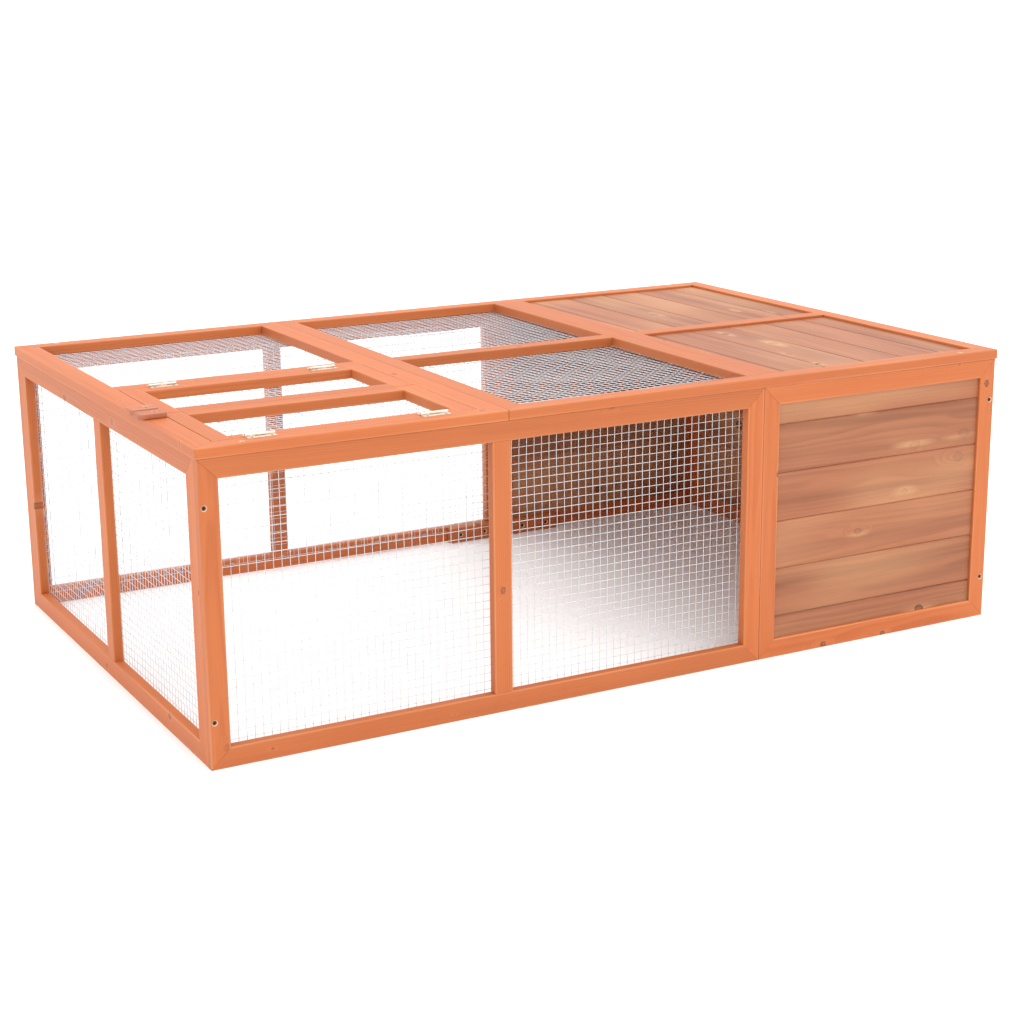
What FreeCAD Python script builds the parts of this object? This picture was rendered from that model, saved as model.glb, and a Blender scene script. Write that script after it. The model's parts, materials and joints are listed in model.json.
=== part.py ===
import FreeCAD, Part
import math
import os

# A low rabbit hutch that stands on grass: a wire-mesh run with a boarded shelter at its right end,
# under one flat roof of three bays. The left bay of the roof has two lift-up leaves in its front
# half, each on two butt hinges and held shut by a wooden turn button on the side rail.
#
# Frame: X runs along the front from left to right, Y from front to back, +Z up. The origin lies on
# the ground at the centre of the roof's outline. Lengths are millimetres.

doc = FreeCAD.newDocument("rabbit_hutch")

# ---------------------------------------------------------------- driving dimensions

SIZES = [
    ("overall_length", 1410, "roof, along X"),
    ("overall_depth", 900, "roof, along Y"),
    ("overall_height", 465, "ground to the top of the roof"),
    ("roof_thickness", 16, "roof rails and leaves"),
    ("roof_overhang", 2, "roof past the walls, each side"),
    ("run_length", 935, "mesh panels of the front and back"),
    ("member_width", 30, "rails and stiles of the walls"),
    ("wall_thickness", 16, "rails and stiles of the walls"),
    ("end_gap", 0.3, "end panels to the front and back panels"),
    ("roof_rail_width", 30, "roof rails along X"),
    ("side_rail_width", 35.5, "roof rails along Y of the door bay"),
    ("door_bay_length", 480.5, "left roof bay, along X"),
    ("mesh_bay_rail_width", 33, "left rail of the large roof panel"),
    ("divider_width", 62, "wide rail between the mesh and the boards of the roof"),
    ("mesh_bay_length", 505, "from the door bay to the far edge of the wide rail"),
    ("panel_gap", 0.5, "between panels that stand side by side"),
    ("hatch_depth", 405, "clear opening for the leaves, along Y"),
    ("front_leaf_depth", 207, "front leaf, along Y"),
    ("leaf_side_gap", 1.5, "leaf to a side rail"),
    ("leaf_hinge_gap", 1.0, "leaf to the rail that carries its hinges"),
    ("leaf_meeting_gap", 2.0, "between the two leaves"),
    ("leaf_stile_width", 30, "leaf members along Y"),
    ("leaf_rail_width", 27, "leaf members along X"),
    ("leaf_front_rail_width", 22, "front member of the front leaf"),
    ("mesh_cell", 25.4, "spacing of the wires that are drawn"),
    ("wire", 1, "width and thickness of a wire"),
    ("mesh_lap", 10, "mesh past the opening, onto the frame"),
    ("mesh_wall_gap", 2, "roof mesh to the inside of the front and back panels"),
    ("board_pitch", 79.5, "covering width of a board"),
    ("board_thickness", 9, "tongue-and-groove board"),
    ("board_setback", 5, "boards behind the outer face of the frame"),
    ("vee_depth", 2, "bevel on the long edges of a board"),
    ("tongue_length", 4, "tongue past the board's edge"),
    ("tongue_thickness", 3, "tongue"),
    ("tongue_gap", 0.3, "tongue to groove, each side and end"),
    ("first_wall_board", 37, "lowest wall board, ripped down"),
    ("first_roof_board", 24, "first roof board, ripped down"),
    ("least_board", 12, "a narrower last strip is left on the board before it"),
    ("stop_gap", 1.5, "left batten to the left end panel"),
    ("stop_height", 10, "batten under each side of the hatch"),
    ("stop_reach", 8, "batten into the hatch, under the leaves"),
    ("splice_length", 235, "batten across the back seam"),
    ("splice_inset", 22, "outer screws of the splice from its ends"),
    ("splice_spacing", 53, "outer to inner screw of the splice"),
    ("hinge_length", 44, "butt hinge"),
    ("hinge_inset", 69, "hinge centre from the side of the leaf"),
    ("hinge_plate_width", 13, "from the pin's axis to the plate's edge"),
    ("hinge_plate_thickness", 1, "plate"),
    ("knuckle_radius", 2.2, "hinge knuckle"),
    ("knuckle_lift", 0.3, "knuckle above the wood"),
    ("knuckle_gap", 0.3, "between knuckles, and knuckle to plate"),
    ("pin_radius", 1.0, "hinge pin"),
    ("pin_gap", 0.08, "pin to knuckle, all round"),
    ("button_tail", 15, "turn button, screw to tail"),
    ("button_head", 28, "turn button, screw to head"),
    ("button_width", 27, "turn button"),
    ("button_thickness", 8, "turn button"),
    ("button_corner", 4, "rounding of the turn button"),
    ("button_lift", 0.4, "turn button above the roof"),
    ("button_spacing", 38, "between the two button screws"),
    ("button_screw_inset", 15.5, "button screws from the edge of the hatch"),
    ("screw_radius", 2.0, "shank of the long screws"),
    ("screw_head_radius", 4.0, "head of the long screws"),
    ("screw_head_height", 2.6, "countersunk head"),
    ("screw_gap", 0.1, "screw to its hole, all round"),
    ("button_screw_gap", 0.3, "button screw to the turning button"),
    ("wall_screw_bite", 20, "corner screws, into the end panel"),
    ("roof_screw_spare", 6, "top rail left below the tips of the roof screws"),
    ("splice_screw_bite", 10, "splice screws, into the back panels"),
    ("button_screw_bite", 12.6, "button screws, into the side rail"),
    ("low_screw_height", 70, "lower corner screws above the ground"),
    ("high_screw_drop", 69, "upper corner screws below the top of the walls"),
    ("roof_screw_inset", 72, "roof screws from the ends of the roof"),
    ("plate_screw_end", 7, "hinge screws from the plate's ends"),
    ("plate_screw_edge", 4, "hinge screws from the plate's edge"),
    ("small_screw_radius", 1.1, "hinge screws"),
    ("small_head_radius", 2.2, "hinge screws"),
    ("small_screw_length", 11, "hinge screws"),
    ("small_head_height", 0.9, "hinge screws"),
    ("cut_margin", 1, "through holes past both faces"),
]

sheet = doc.addObject("Spreadsheet::Sheet", "Sizes")
sheet.Label = "Sizes"
for row, (alias, number, meaning) in enumerate(SIZES, start=1):
    sheet.set("A%d" % row, alias)
    sheet.set("B%d" % row, str(number))
    sheet.set("C%d" % row, meaning)
    sheet.setAlias("B%d" % row, alias)
doc.recompute()


def size(alias):
    """The number in the sheet under this alias."""
    return float(sheet.get(alias))


gauge = doc.addObject("App::FeaturePython", "Gauge")
gauge.addProperty("App::PropertyFloat", "Number")


def value(expression):
    """The number that an expression over the sheet stands for, read off a bound property."""
    gauge.setExpression("Number", expression)
    gauge.recompute()
    return gauge.Number


def bind(thing, prop, expression):
    """Bind one property of an object to an expression over the sheet."""
    thing.setExpression(prop, expression)


# ---------------------------------------------------------------- places worked out from the sizes

WALL_HEIGHT = "(Sizes.overall_height - Sizes.roof_thickness)"
WALL_LEFT = "(Sizes.roof_overhang - Sizes.overall_length / 2)"
WALL_RIGHT = "(Sizes.overall_length / 2 - Sizes.roof_overhang)"
WALL_FRONT = "(Sizes.roof_overhang - Sizes.overall_depth / 2)"
WALL_BACK = "(Sizes.overall_depth / 2 - Sizes.roof_overhang)"
SEAM = f"({WALL_LEFT} + Sizes.run_length)"
HOUSE_START = f"({SEAM} + Sizes.panel_gap)"
HOUSE_LENGTH = f"({WALL_RIGHT} - {HOUSE_START})"
END_START = f"({WALL_FRONT} + Sizes.wall_thickness + Sizes.end_gap)"
END_LENGTH = f"({WALL_BACK} - Sizes.wall_thickness - Sizes.end_gap - {END_START})"

ROOF_LEFT = "(-Sizes.overall_length / 2)"
ROOF_RIGHT = "(Sizes.overall_length / 2)"
ROOF_FRONT = "(-Sizes.overall_depth / 2)"
ROOF_BACK = "(Sizes.overall_depth / 2)"
ROOF_TOP = "Sizes.overall_height"
DOOR_BAY_END = f"({ROOF_LEFT} + Sizes.door_bay_length)"
MESH_BAY_START = f"({DOOR_BAY_END} + Sizes.panel_gap)"
MESH_BAY_END = f"({DOOR_BAY_END} + Sizes.mesh_bay_length)"
HATCH_LEFT = f"({ROOF_LEFT} + Sizes.side_rail_width)"
HATCH_RIGHT = f"({DOOR_BAY_END} - Sizes.side_rail_width)"
HATCH_FRONT = f"({ROOF_FRONT} + Sizes.roof_rail_width)"
HATCH_BACK = f"({HATCH_FRONT} + Sizes.hatch_depth)"
LEAF_LEFT = f"({HATCH_LEFT} + Sizes.leaf_side_gap)"
LEAF_LENGTH = f"({HATCH_RIGHT} - {HATCH_LEFT} - 2 * Sizes.leaf_side_gap)"
FRONT_LEAF_START = f"({HATCH_FRONT} + Sizes.leaf_hinge_gap)"
FRONT_LEAF_END = f"({FRONT_LEAF_START} + Sizes.front_leaf_depth)"
REAR_LEAF_START = f"({FRONT_LEAF_END} + Sizes.leaf_meeting_gap)"
REAR_LEAF_END = f"({HATCH_BACK} - Sizes.leaf_hinge_gap)"
FRONT_AXIS = f"({HATCH_FRONT} + Sizes.leaf_hinge_gap / 2)"
REAR_AXIS = f"({HATCH_BACK} - Sizes.leaf_hinge_gap / 2)"
AXIS_HEIGHT = f"({ROOF_TOP} + Sizes.knuckle_lift + Sizes.knuckle_radius)"
MID_RAIL_FRONT = HATCH_BACK
MID_RAIL_BACK = f"({HATCH_BACK} + Sizes.roof_rail_width)"

X = FreeCAD.Vector(1, 0, 0)
Y = FreeCAD.Vector(0, 1, 0)
Z = FreeCAD.Vector(0, 0, 1)
DOWN = FreeCAD.Vector(0, 0, -1)
NODES = []


def scaled(amount, expression):
    """An expression times -1, 0 or 1, left out where it is 0."""
    if round(amount) == 0:
        return ""
    return (" + " if amount > 0 else " - ") + expression


def moved(place, direction, distance):
    """A place, three expressions, moved along an axis direction by an expression."""
    parts = (direction.x, direction.y, direction.z)
    return tuple(here + scaled(part, distance) for here, part in zip(place, parts))


def put(thing, place, along=X, across=Y):
    """Stand an object at a place, with its own X along one direction and its own Y along another."""
    turn = FreeCAD.Rotation(along, across, along.cross(across), "XYZ")
    thing.Placement = FreeCAD.Placement(FreeCAD.Vector(0, 0, 0), turn)
    for letter, expression in zip("xyz", place):
        bind(thing, ".Placement.Base.%s" % letter, expression)
    return thing


def node(thing, name):
    """Give a finished sub-part its name and keep it for export."""
    thing.Label = name
    NODES.append(thing)
    return thing


def group(name, things):
    """Like pieces in one sub-part, each a solid of its own."""
    together = doc.addObject("Part::Compound", "group_" + name)
    together.Links = things
    return node(together, name)


def fused(things):
    joined = doc.addObject("Part::MultiFuse", "joined")
    joined.Shapes = things
    joined.Refine = True
    return joined


def cut(base, tools):
    """Take one or more tools away from a piece."""
    if not tools:
        return base
    tool = tools[0]
    if len(tools) > 1:
        tool = doc.addObject("Part::Compound", "tools")
        tool.Links = tools
    less = doc.addObject("Part::Cut", "less")
    less.Base = base
    less.Tool = tool
    return less


def block(place, lengths, along=X, across=Y):
    """A box with its corner at a place and its length, width and height from expressions."""
    box = doc.addObject("Part::Box", "block")
    for prop, expression in zip(("Length", "Width", "Height"), lengths):
        bind(box, prop, expression)
    return put(box, place, along, across)


def rod(place, direction, radius, length):
    """A cylinder from a place along a direction."""
    bar = doc.addObject("Part::Cylinder", "rod")
    bind(bar, "Radius", radius)
    bind(bar, "Height", length)
    side = Z if round(direction.y) else Y
    return put(bar, place, side.cross(direction), side)


def cone(place, direction, start_radius, end_radius, length):
    """A cone from a place along a direction."""
    body = doc.addObject("Part::Cone", "cone")
    bind(body, "Radius1", start_radius)
    bind(body, "Radius2", end_radius)
    bind(body, "Height", length)
    side = Z if round(direction.y) else Y
    return put(body, place, side.cross(direction), side)


# ---------------------------------------------------------------- screws and their holes

LONG_SCREW = ("Sizes.screw_radius", "Sizes.screw_head_radius", "Sizes.screw_head_height")
SMALL_SCREW = ("Sizes.small_screw_radius", "Sizes.small_head_radius", "Sizes.small_head_height")


def screw(place, direction, length, kind=LONG_SCREW):
    """A countersunk wood screw, its flat head at the place and its shank along the direction."""
    radius, head_radius, head_height = kind
    head = cone(place, direction, head_radius, radius, head_height)
    shank = rod(place, direction, radius, length)
    return fused([head, shank])


def screw_hole(place, direction, thickness, kind=LONG_SCREW, gap="Sizes.screw_gap"):
    """The countersunk hole for that screw right through a thickness, as tools to cut with."""
    radius, head_radius, head_height = kind
    head = cone(place, direction, f"{head_radius} + {gap}", f"{radius} + {gap}", head_height)
    start = moved(place, direction * -1, "Sizes.cut_margin")
    depth = f"({thickness} + 2 * Sizes.cut_margin)"
    return [head, rod(start, direction, f"{radius} + {gap}", depth)]


def pilot_hole(place, direction, depth, kind=LONG_SCREW):
    """The plain hole for the far part of a screw, as a tool to cut with."""
    return rod(place, direction, f"{kind[0]} + Sizes.screw_gap", depth)


# ---------------------------------------------------------------- butt hinge places

KNUCKLE = "Sizes.knuckle_radius"
PLATE = "Sizes.hinge_plate_thickness"
HINGE_XS = (f"({LEAF_LEFT} + Sizes.hinge_inset)",
            f"({LEAF_LEFT} + {LEAF_LENGTH} - Sizes.hinge_inset)")
THIRD = "((Sizes.hinge_length - 2 * Sizes.knuckle_gap) / 3)"
PLATE_SCREW_OFFSET = "(Sizes.hinge_length / 2 - Sizes.plate_screw_end)"
PLATE_SCREW_REACH = "(Sizes.hinge_plate_width - Sizes.plate_screw_edge)"


def hinge_screw_places(x, axis_y, away):
    """The two screw places of a hinge plate that lies on the side away points to."""
    spots = []
    for sign in ("-", "+"):
        place = (f"({x} {sign} {PLATE_SCREW_OFFSET})", axis_y, f"({ROOF_TOP} + {PLATE})")
        spots.append(moved(place, away, PLATE_SCREW_REACH))
    return spots


def hinge_pilots(axis_y, away):
    """The holes in the wood for the screws of both hinges on that side."""
    places = []
    for x in HINGE_XS:
        places += hinge_screw_places(x, axis_y, away)
    return [pilot_hole(place, DOWN, "Sizes.small_screw_length", SMALL_SCREW) for place in places]


# ---------------------------------------------------------------- timber frames


def member(start, along, inward, through, length, width, thickness, mitres):
    """A rail or stile. start is the corner of its outer edge, along runs down that edge, inward
    points from the outer to the inner edge, through goes into the thickness. Each mitre shortens
    the inner edge at one end."""
    first, last = mitres
    if along.cross(inward).dot(through) < 0:
        start = moved(start, along, length)
        along = along * -1
        first, last = last, first
    bar = doc.addObject("Part::Wedge", "member")
    for prop in ("Xmin", "Ymin", "Zmin", "Z2min"):
        bind(bar, prop, "0")
    bind(bar, "Xmax", length)
    bind(bar, "X2min", first)
    bind(bar, "X2max", f"{length} - {last}")
    bind(bar, "Ymax", width)
    bind(bar, "Zmax", thickness)
    bind(bar, "Z2max", thickness)
    return put(bar, start, along, inward)


def wall_frame(prefix, corner, along, through, length, middle, end_holes, rail_pilots):
    """Two mitred rails and their stiles round a wall panel. corner is the outer bottom corner.
    end_holes gives the cutting tools for the first and the last stile, rail_pilots those for the
    bottom and the top rail."""
    width = "Sizes.member_width"
    thickness = "Sizes.wall_thickness"
    mitred = (width, width)
    top = moved(corner, Z, WALL_HEIGHT)
    far = moved(corner, along, length)
    lower = member(corner, along, Z, through, length, width, thickness, mitred)
    upper = member(top, along, Z * -1, through, length, width, thickness, mitred)
    first = member(corner, Z, along, through, WALL_HEIGHT, width, thickness, mitred)
    last = member(far, Z, along * -1, through, WALL_HEIGHT, width, thickness, mitred)
    stiles = [cut(first, end_holes[0]), cut(last, end_holes[1])]
    if middle:
        foot = moved(moved(corner, along, f"({length} / 2 - {width} / 2)"), Z, width)
        clear = f"({WALL_HEIGHT} - 2 * {width})"
        post = member(foot, Z, along, through, clear, width, thickness, ("0", "0"))
        stiles.insert(1, post)
    node(cut(lower, rail_pilots[0]), prefix + "_bottom_rail")
    node(cut(upper, rail_pilots[1]), prefix + "_top_rail")
    group(prefix + "_stiles", stiles)


def corner_screw_places(x, y):
    """The two screw places up one corner of the hutch."""
    heights = ("Sizes.low_screw_height", f"({WALL_HEIGHT} - Sizes.high_screw_drop)")
    return [(x, y, height) for height in heights]


SPLICE_FACE = f"({WALL_BACK} - Sizes.wall_thickness)"
SPLICE_Y = f"({SPLICE_FACE} - Sizes.wire - Sizes.wall_thickness)"
SPLICE_MIDDLE = f"({SEAM} + Sizes.panel_gap / 2)"
SPLICE_LEFT = f"({SPLICE_MIDDLE} - Sizes.splice_length / 2)"
SPLICE_RIGHT = f"({SPLICE_MIDDLE} + Sizes.splice_length / 2)"
SPLICE_OFFSETS = ("Sizes.splice_inset", "(Sizes.splice_inset + Sizes.splice_spacing)")
SPLICE_SCREW = "(Sizes.wall_thickness + Sizes.wire + Sizes.splice_screw_bite)"
ROOF_SCREW_XS = (f"({ROOF_LEFT} + Sizes.roof_screw_inset)",
                 f"({ROOF_RIGHT} - Sizes.roof_screw_inset)")
ROOF_PILOT_DEPTH = "(Sizes.member_width - Sizes.roof_screw_spare)"
ROOF_SCREW = f"(Sizes.roof_thickness + {ROOF_PILOT_DEPTH})"
LEFT_SCREW_X = f"({WALL_LEFT} + Sizes.wall_thickness / 2)"
RIGHT_SCREW_X = f"({WALL_RIGHT} - Sizes.wall_thickness / 2)"
WALL_SCREW = "(Sizes.wall_thickness + Sizes.wall_screw_bite)"


def stile_holes(x, y, direction):
    """The countersunk holes up one corner, through a stile of the front or back panel."""
    tools = []
    for place in corner_screw_places(x, y):
        tools += screw_hole(place, direction, "Sizes.wall_thickness")
    return tools


def stile_pilots(x, y, direction):
    """The holes up the edge of an end panel's stile for the corner screws."""
    places = corner_screw_places(x, y)
    return [pilot_hole(place, direction, "Sizes.wall_screw_bite") for place in places]


def roof_pilot(x, y):
    """The hole in a wall's top rail for one roof screw."""
    return pilot_hole((x, y, WALL_HEIGHT), DOWN, ROOF_PILOT_DEPTH)


def splice_pilots(offsets_from, sign):
    """The holes in a bottom rail for the splice screws of one half of the batten."""
    places = [(f"({offsets_from} {sign} {offset})", SPLICE_FACE, "(Sizes.member_width / 2)")
              for offset in SPLICE_OFFSETS]
    return [pilot_hole(place, Y, "Sizes.splice_screw_bite") for place in places]


for side, face, through in (("front", WALL_FRONT, Y), ("back", WALL_BACK, Y * -1)):
    screw_y = f"({face} {'+' if side == 'front' else '-'} Sizes.wall_thickness / 2)"
    left_holes = stile_holes(LEFT_SCREW_X, face, through)
    right_holes = stile_holes(RIGHT_SCREW_X, face, through)
    run_splice = []
    house_splice = []
    if side == "back":
        run_splice = splice_pilots(SPLICE_LEFT, "+")
        house_splice = splice_pilots(SPLICE_RIGHT, "-")
    wall_frame(side + "_run", (WALL_LEFT, face, "0"), X, through,
               "Sizes.run_length", True, (left_holes, []),
               (run_splice, [roof_pilot(ROOF_SCREW_XS[0], screw_y)]))
    wall_frame(side + "_house", (HOUSE_START, face, "0"), X, through,
               HOUSE_LENGTH, False, ([], right_holes),
               (house_splice, [roof_pilot(ROOF_SCREW_XS[1], screw_y)]))

END_BACK = f"({END_START} + {END_LENGTH})"
for name, face, screw_x, through, middle in (
        ("left_end", WALL_LEFT, LEFT_SCREW_X, X, True),
        ("right_end", WALL_RIGHT, RIGHT_SCREW_X, X * -1, False)):
    front_pilots = stile_pilots(screw_x, END_START, Y)
    back_pilots = stile_pilots(screw_x, END_BACK, Y * -1)
    wall_frame(name, (face, END_START, "0"), Y, through, END_LENGTH, middle,
               (front_pilots, back_pilots), ([], []))


# ---------------------------------------------------------------- boards


def board(place, across, out, along, width, length, tongue, groove):
    """One board: a core, a bevelled outer layer, a tongue on the far edge and a groove in the near
    one. across runs over the boards, out points to the weather side, along follows the grain."""
    core_thickness = "(Sizes.board_thickness - Sizes.vee_depth)"
    bevel = "Sizes.vee_depth"
    if across.cross(out).dot(along) < 0:
        place = moved(place, along, length)
        along = along * -1
    core = block(place, (width, core_thickness, length), across, out)
    outer = doc.addObject("Part::Wedge", "bevelled_face")
    for prop in ("Xmin", "Ymin", "Zmin", "Z2min"):
        bind(outer, prop, "0")
    bind(outer, "Xmax", width)
    bind(outer, "X2min", bevel if groove else "0")
    bind(outer, "X2max", f"{width} - {bevel}" if tongue else width)
    bind(outer, "Ymax", bevel)
    bind(outer, "Zmax", length)
    bind(outer, "Z2max", length)
    put(outer, moved(place, out, core_thickness), across, out)
    pieces = [core, outer]
    middle = f"(({core_thickness} - Sizes.tongue_thickness) / 2)"
    if tongue:
        root = moved(moved(place, across, width), out, middle)
        pieces.append(block(root, ("Sizes.tongue_length", "Sizes.tongue_thickness", length),
                            across, out))
    whole = fused(pieces)
    if not groove:
        return whole
    slot_start = moved(place, out, f"({middle} - Sizes.tongue_gap)")
    slot = block(slot_start, ("(Sizes.tongue_length + Sizes.tongue_gap)",
                              "(Sizes.tongue_thickness + 2 * Sizes.tongue_gap)", length),
                 across, out)
    return cut(whole, [slot])


def boards(place, across, out, along, span, length, first_width):
    """Boards side by side over a span: one ripped to first_width, full ones, and a ripped last."""
    total = value(span)
    first = value(first_width)
    pitch = value("Sizes.board_pitch")
    count = int(math.ceil((total - first - value("Sizes.least_board")) / pitch))
    made = [board(place, across, out, along, first_width, length, True, False)]
    for index in range(count):
        offset = f"({first_width} + {index} * Sizes.board_pitch)"
        last = index == count - 1
        width = f"({span} - {offset})" if last else "Sizes.board_pitch"
        start = moved(place, across, offset)
        made.append(board(start, across, out, along, width, length, not last, True))
    return made


WALL_CLEAR = f"({WALL_HEIGHT} - 2 * Sizes.member_width)"
HOUSE_CLEAR = f"({HOUSE_LENGTH} - 2 * Sizes.member_width)"
END_CLEAR = f"({END_LENGTH} - 2 * Sizes.member_width)"
BOARD_BACK = "(Sizes.board_setback + Sizes.board_thickness)"
HOUSE_INNER = f"({HOUSE_START} + Sizes.member_width)"
END_INNER = f"({END_START} + Sizes.member_width)"

for name, face, out in (("front_house_boards", WALL_FRONT, Y * -1),
                        ("back_house_boards", WALL_BACK, Y)):
    corner = moved((HOUSE_INNER, face, "Sizes.member_width"), out * -1, BOARD_BACK)
    group(name, boards(corner, Z, out, X, WALL_CLEAR, HOUSE_CLEAR, "Sizes.first_wall_board"))

corner = moved((WALL_RIGHT, END_INNER, "Sizes.member_width"), X * -1, BOARD_BACK)
group("right_end_boards",
      boards(corner, Z, X, Y, WALL_CLEAR, END_CLEAR, "Sizes.first_wall_board"))


# ---------------------------------------------------------------- roof frames

RAIL = "Sizes.roof_rail_width"
DEEP = "Sizes.roof_thickness"
INNER_DEPTH = "(Sizes.overall_depth - 2 * Sizes.roof_rail_width)"
FRONT_SCREW_Y = f"({WALL_FRONT} + Sizes.wall_thickness / 2)"
BACK_SCREW_Y = f"({WALL_BACK} - Sizes.wall_thickness / 2)"
ROOF_INNER_Y = HATCH_FRONT


def roof_rail(start_x, y, inward, length, mitres, screw_x, screw_y, pilots=()):
    """An outer roof rail along X, with its roof screw's hole."""
    rail = member((start_x, y, ROOF_TOP), X, inward, DOWN, length, RAIL, DEEP, mitres)
    hole = screw_hole((screw_x, screw_y, ROOF_TOP), DOWN, DEEP)
    return cut(rail, hole + list(pilots))


DOOR_BAY = "Sizes.door_bay_length"
SIDE = "Sizes.side_rail_width"
BUTTON_X = f"({HATCH_LEFT} - Sizes.button_screw_inset)"
MEETING = f"({FRONT_LEAF_END} + Sizes.leaf_meeting_gap / 2)"
FRONT_BUTTON_Y = f"({MEETING} - Sizes.button_spacing / 2)"
REAR_BUTTON_Y = f"({MEETING} + Sizes.button_spacing / 2)"
BUTTON_TOP = f"({ROOF_TOP} + Sizes.button_lift + Sizes.button_thickness)"
BUTTON_SCREW = "(Sizes.button_thickness + Sizes.button_lift + Sizes.button_screw_bite)"

node(roof_rail(ROOF_LEFT, ROOF_FRONT, Y, DOOR_BAY, (SIDE, SIDE), ROOF_SCREW_XS[0], FRONT_SCREW_Y,
               hinge_pilots(FRONT_AXIS, Y * -1)), "door_bay_front_rail")
node(roof_rail(ROOF_LEFT, ROOF_BACK, Y * -1, DOOR_BAY, (SIDE, SIDE), ROOF_SCREW_XS[0],
               BACK_SCREW_Y), "door_bay_back_rail")
button_pilots = [rod((BUTTON_X, y, ROOF_TOP), DOWN, "(Sizes.screw_radius + Sizes.screw_gap)",
                     "Sizes.button_screw_bite") for y in (FRONT_BUTTON_Y, REAR_BUTTON_Y)]
left_side = member((ROOF_LEFT, ROOF_FRONT, ROOF_TOP), Y, X, DOWN, "Sizes.overall_depth", SIDE, DEEP,
                   (RAIL, RAIL))
right_side = member((DOOR_BAY_END, ROOF_FRONT, ROOF_TOP), Y, X * -1, DOWN, "Sizes.overall_depth",
                    SIDE, DEEP, (RAIL, RAIL))
group("door_bay_side_rails", [cut(left_side, button_pilots), right_side])
hinge_rail = member((HATCH_LEFT, MID_RAIL_FRONT, ROOF_TOP), X, Y, DOWN,
                    f"({HATCH_RIGHT} - {HATCH_LEFT})", RAIL, DEEP, ("0", "0"))
node(cut(hinge_rail, hinge_pilots(REAR_AXIS, Y)), "hinge_rail")

ROOF_PANEL = f"({ROOF_RIGHT} - {MESH_BAY_START})"
MESH_LEFT = f"({MESH_BAY_START} + Sizes.mesh_bay_rail_width)"
MESH_RIGHT = f"({MESH_BAY_END} - Sizes.divider_width)"
BOARD_BAY_RIGHT = f"({ROOF_RIGHT} - {RAIL})"
PANEL_MITRES = ("Sizes.mesh_bay_rail_width", RAIL)
node(roof_rail(MESH_BAY_START, ROOF_FRONT, Y, ROOF_PANEL, PANEL_MITRES, ROOF_SCREW_XS[1],
               FRONT_SCREW_Y), "roof_panel_front_rail")
node(roof_rail(MESH_BAY_START, ROOF_BACK, Y * -1, ROOF_PANEL, PANEL_MITRES, ROOF_SCREW_XS[1],
               BACK_SCREW_Y), "roof_panel_back_rail")
panel_left = member((MESH_BAY_START, ROOF_FRONT, ROOF_TOP), Y, X, DOWN, "Sizes.overall_depth",
                    "Sizes.mesh_bay_rail_width", DEEP, (RAIL, RAIL))
panel_right = member((ROOF_RIGHT, ROOF_FRONT, ROOF_TOP), Y, X * -1, DOWN, "Sizes.overall_depth",
                     RAIL, DEEP, (RAIL, RAIL))
group("roof_panel_side_rails", [panel_left, panel_right])
node(member((MESH_RIGHT, ROOF_INNER_Y, ROOF_TOP), Y, X, DOWN, INNER_DEPTH, "Sizes.divider_width",
            DEEP, ("0", "0")), "roof_panel_wide_rail")
mesh_mid = member((MESH_LEFT, MID_RAIL_FRONT, ROOF_TOP), X, Y, DOWN, f"({MESH_RIGHT} - {MESH_LEFT})",
                  RAIL, DEEP, ("0", "0"))
board_mid = member((MESH_BAY_END, MID_RAIL_FRONT, ROOF_TOP), X, Y, DOWN,
                   f"({BOARD_BAY_RIGHT} - {MESH_BAY_END})", RAIL, DEEP, ("0", "0"))
group("roof_panel_mid_rails", [mesh_mid, board_mid])

BOARD_BAY_SPAN = f"({BOARD_BAY_RIGHT} - {MESH_BAY_END})"
BOARD_FLOOR = f"({ROOF_TOP} - {BOARD_BACK})"
FRONT_BAY = f"({MID_RAIL_FRONT} - {ROOF_INNER_Y})"
BACK_BAY_END = f"({ROOF_BACK} - {RAIL})"
BACK_BAY = f"({BACK_BAY_END} - {MID_RAIL_BACK})"
roof_boards = []
for start, depth in ((ROOF_INNER_Y, FRONT_BAY), (MID_RAIL_BACK, BACK_BAY)):
    roof_boards += boards((MESH_BAY_END, start, BOARD_FLOOR), X, Z, Y, BOARD_BAY_SPAN, depth,
                          "Sizes.first_roof_board")
group("roof_boards", roof_boards)

STOP_LEFT = f"({WALL_LEFT} + Sizes.wall_thickness + Sizes.stop_gap)"
STOP_WIDTH = f"({HATCH_LEFT} + Sizes.stop_reach - {STOP_LEFT})"
STOP_FLOOR = f"({WALL_HEIGHT} - Sizes.stop_height)"
group("leaf_stops", [
    block((left, HATCH_FRONT, STOP_FLOOR), (STOP_WIDTH, "Sizes.hatch_depth", "Sizes.stop_height"))
    for left in (STOP_LEFT, f"({HATCH_RIGHT} - Sizes.stop_reach)")])


# ---------------------------------------------------------------- leaves

STILE = "Sizes.leaf_stile_width"


def leaf(prefix, start, end, front_width, rear_width, front_pilots, rear_pilots):
    """A leaf of two rails between two stiles that run its full depth."""
    depth = f"({end} - {start})"
    clear = f"({LEAF_LENGTH} - 2 * {STILE})"
    far = f"({LEAF_LEFT} + {LEAF_LENGTH})"
    inner = f"({LEAF_LEFT} + {STILE})"
    stiles = [member((LEAF_LEFT, start, ROOF_TOP), Y, X, DOWN, depth, STILE, DEEP, ("0", "0")),
              member((far, start, ROOF_TOP), Y, X * -1, DOWN, depth, STILE, DEEP, ("0", "0"))]
    front = member((inner, start, ROOF_TOP), X, Y, DOWN, clear, front_width, DEEP, ("0", "0"))
    rear = member((inner, end, ROOF_TOP), X, Y * -1, DOWN, clear, rear_width, DEEP, ("0", "0"))
    group(prefix + "_stiles", stiles)
    group(prefix + "_rails", [cut(front, front_pilots), cut(rear, rear_pilots)])


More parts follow.
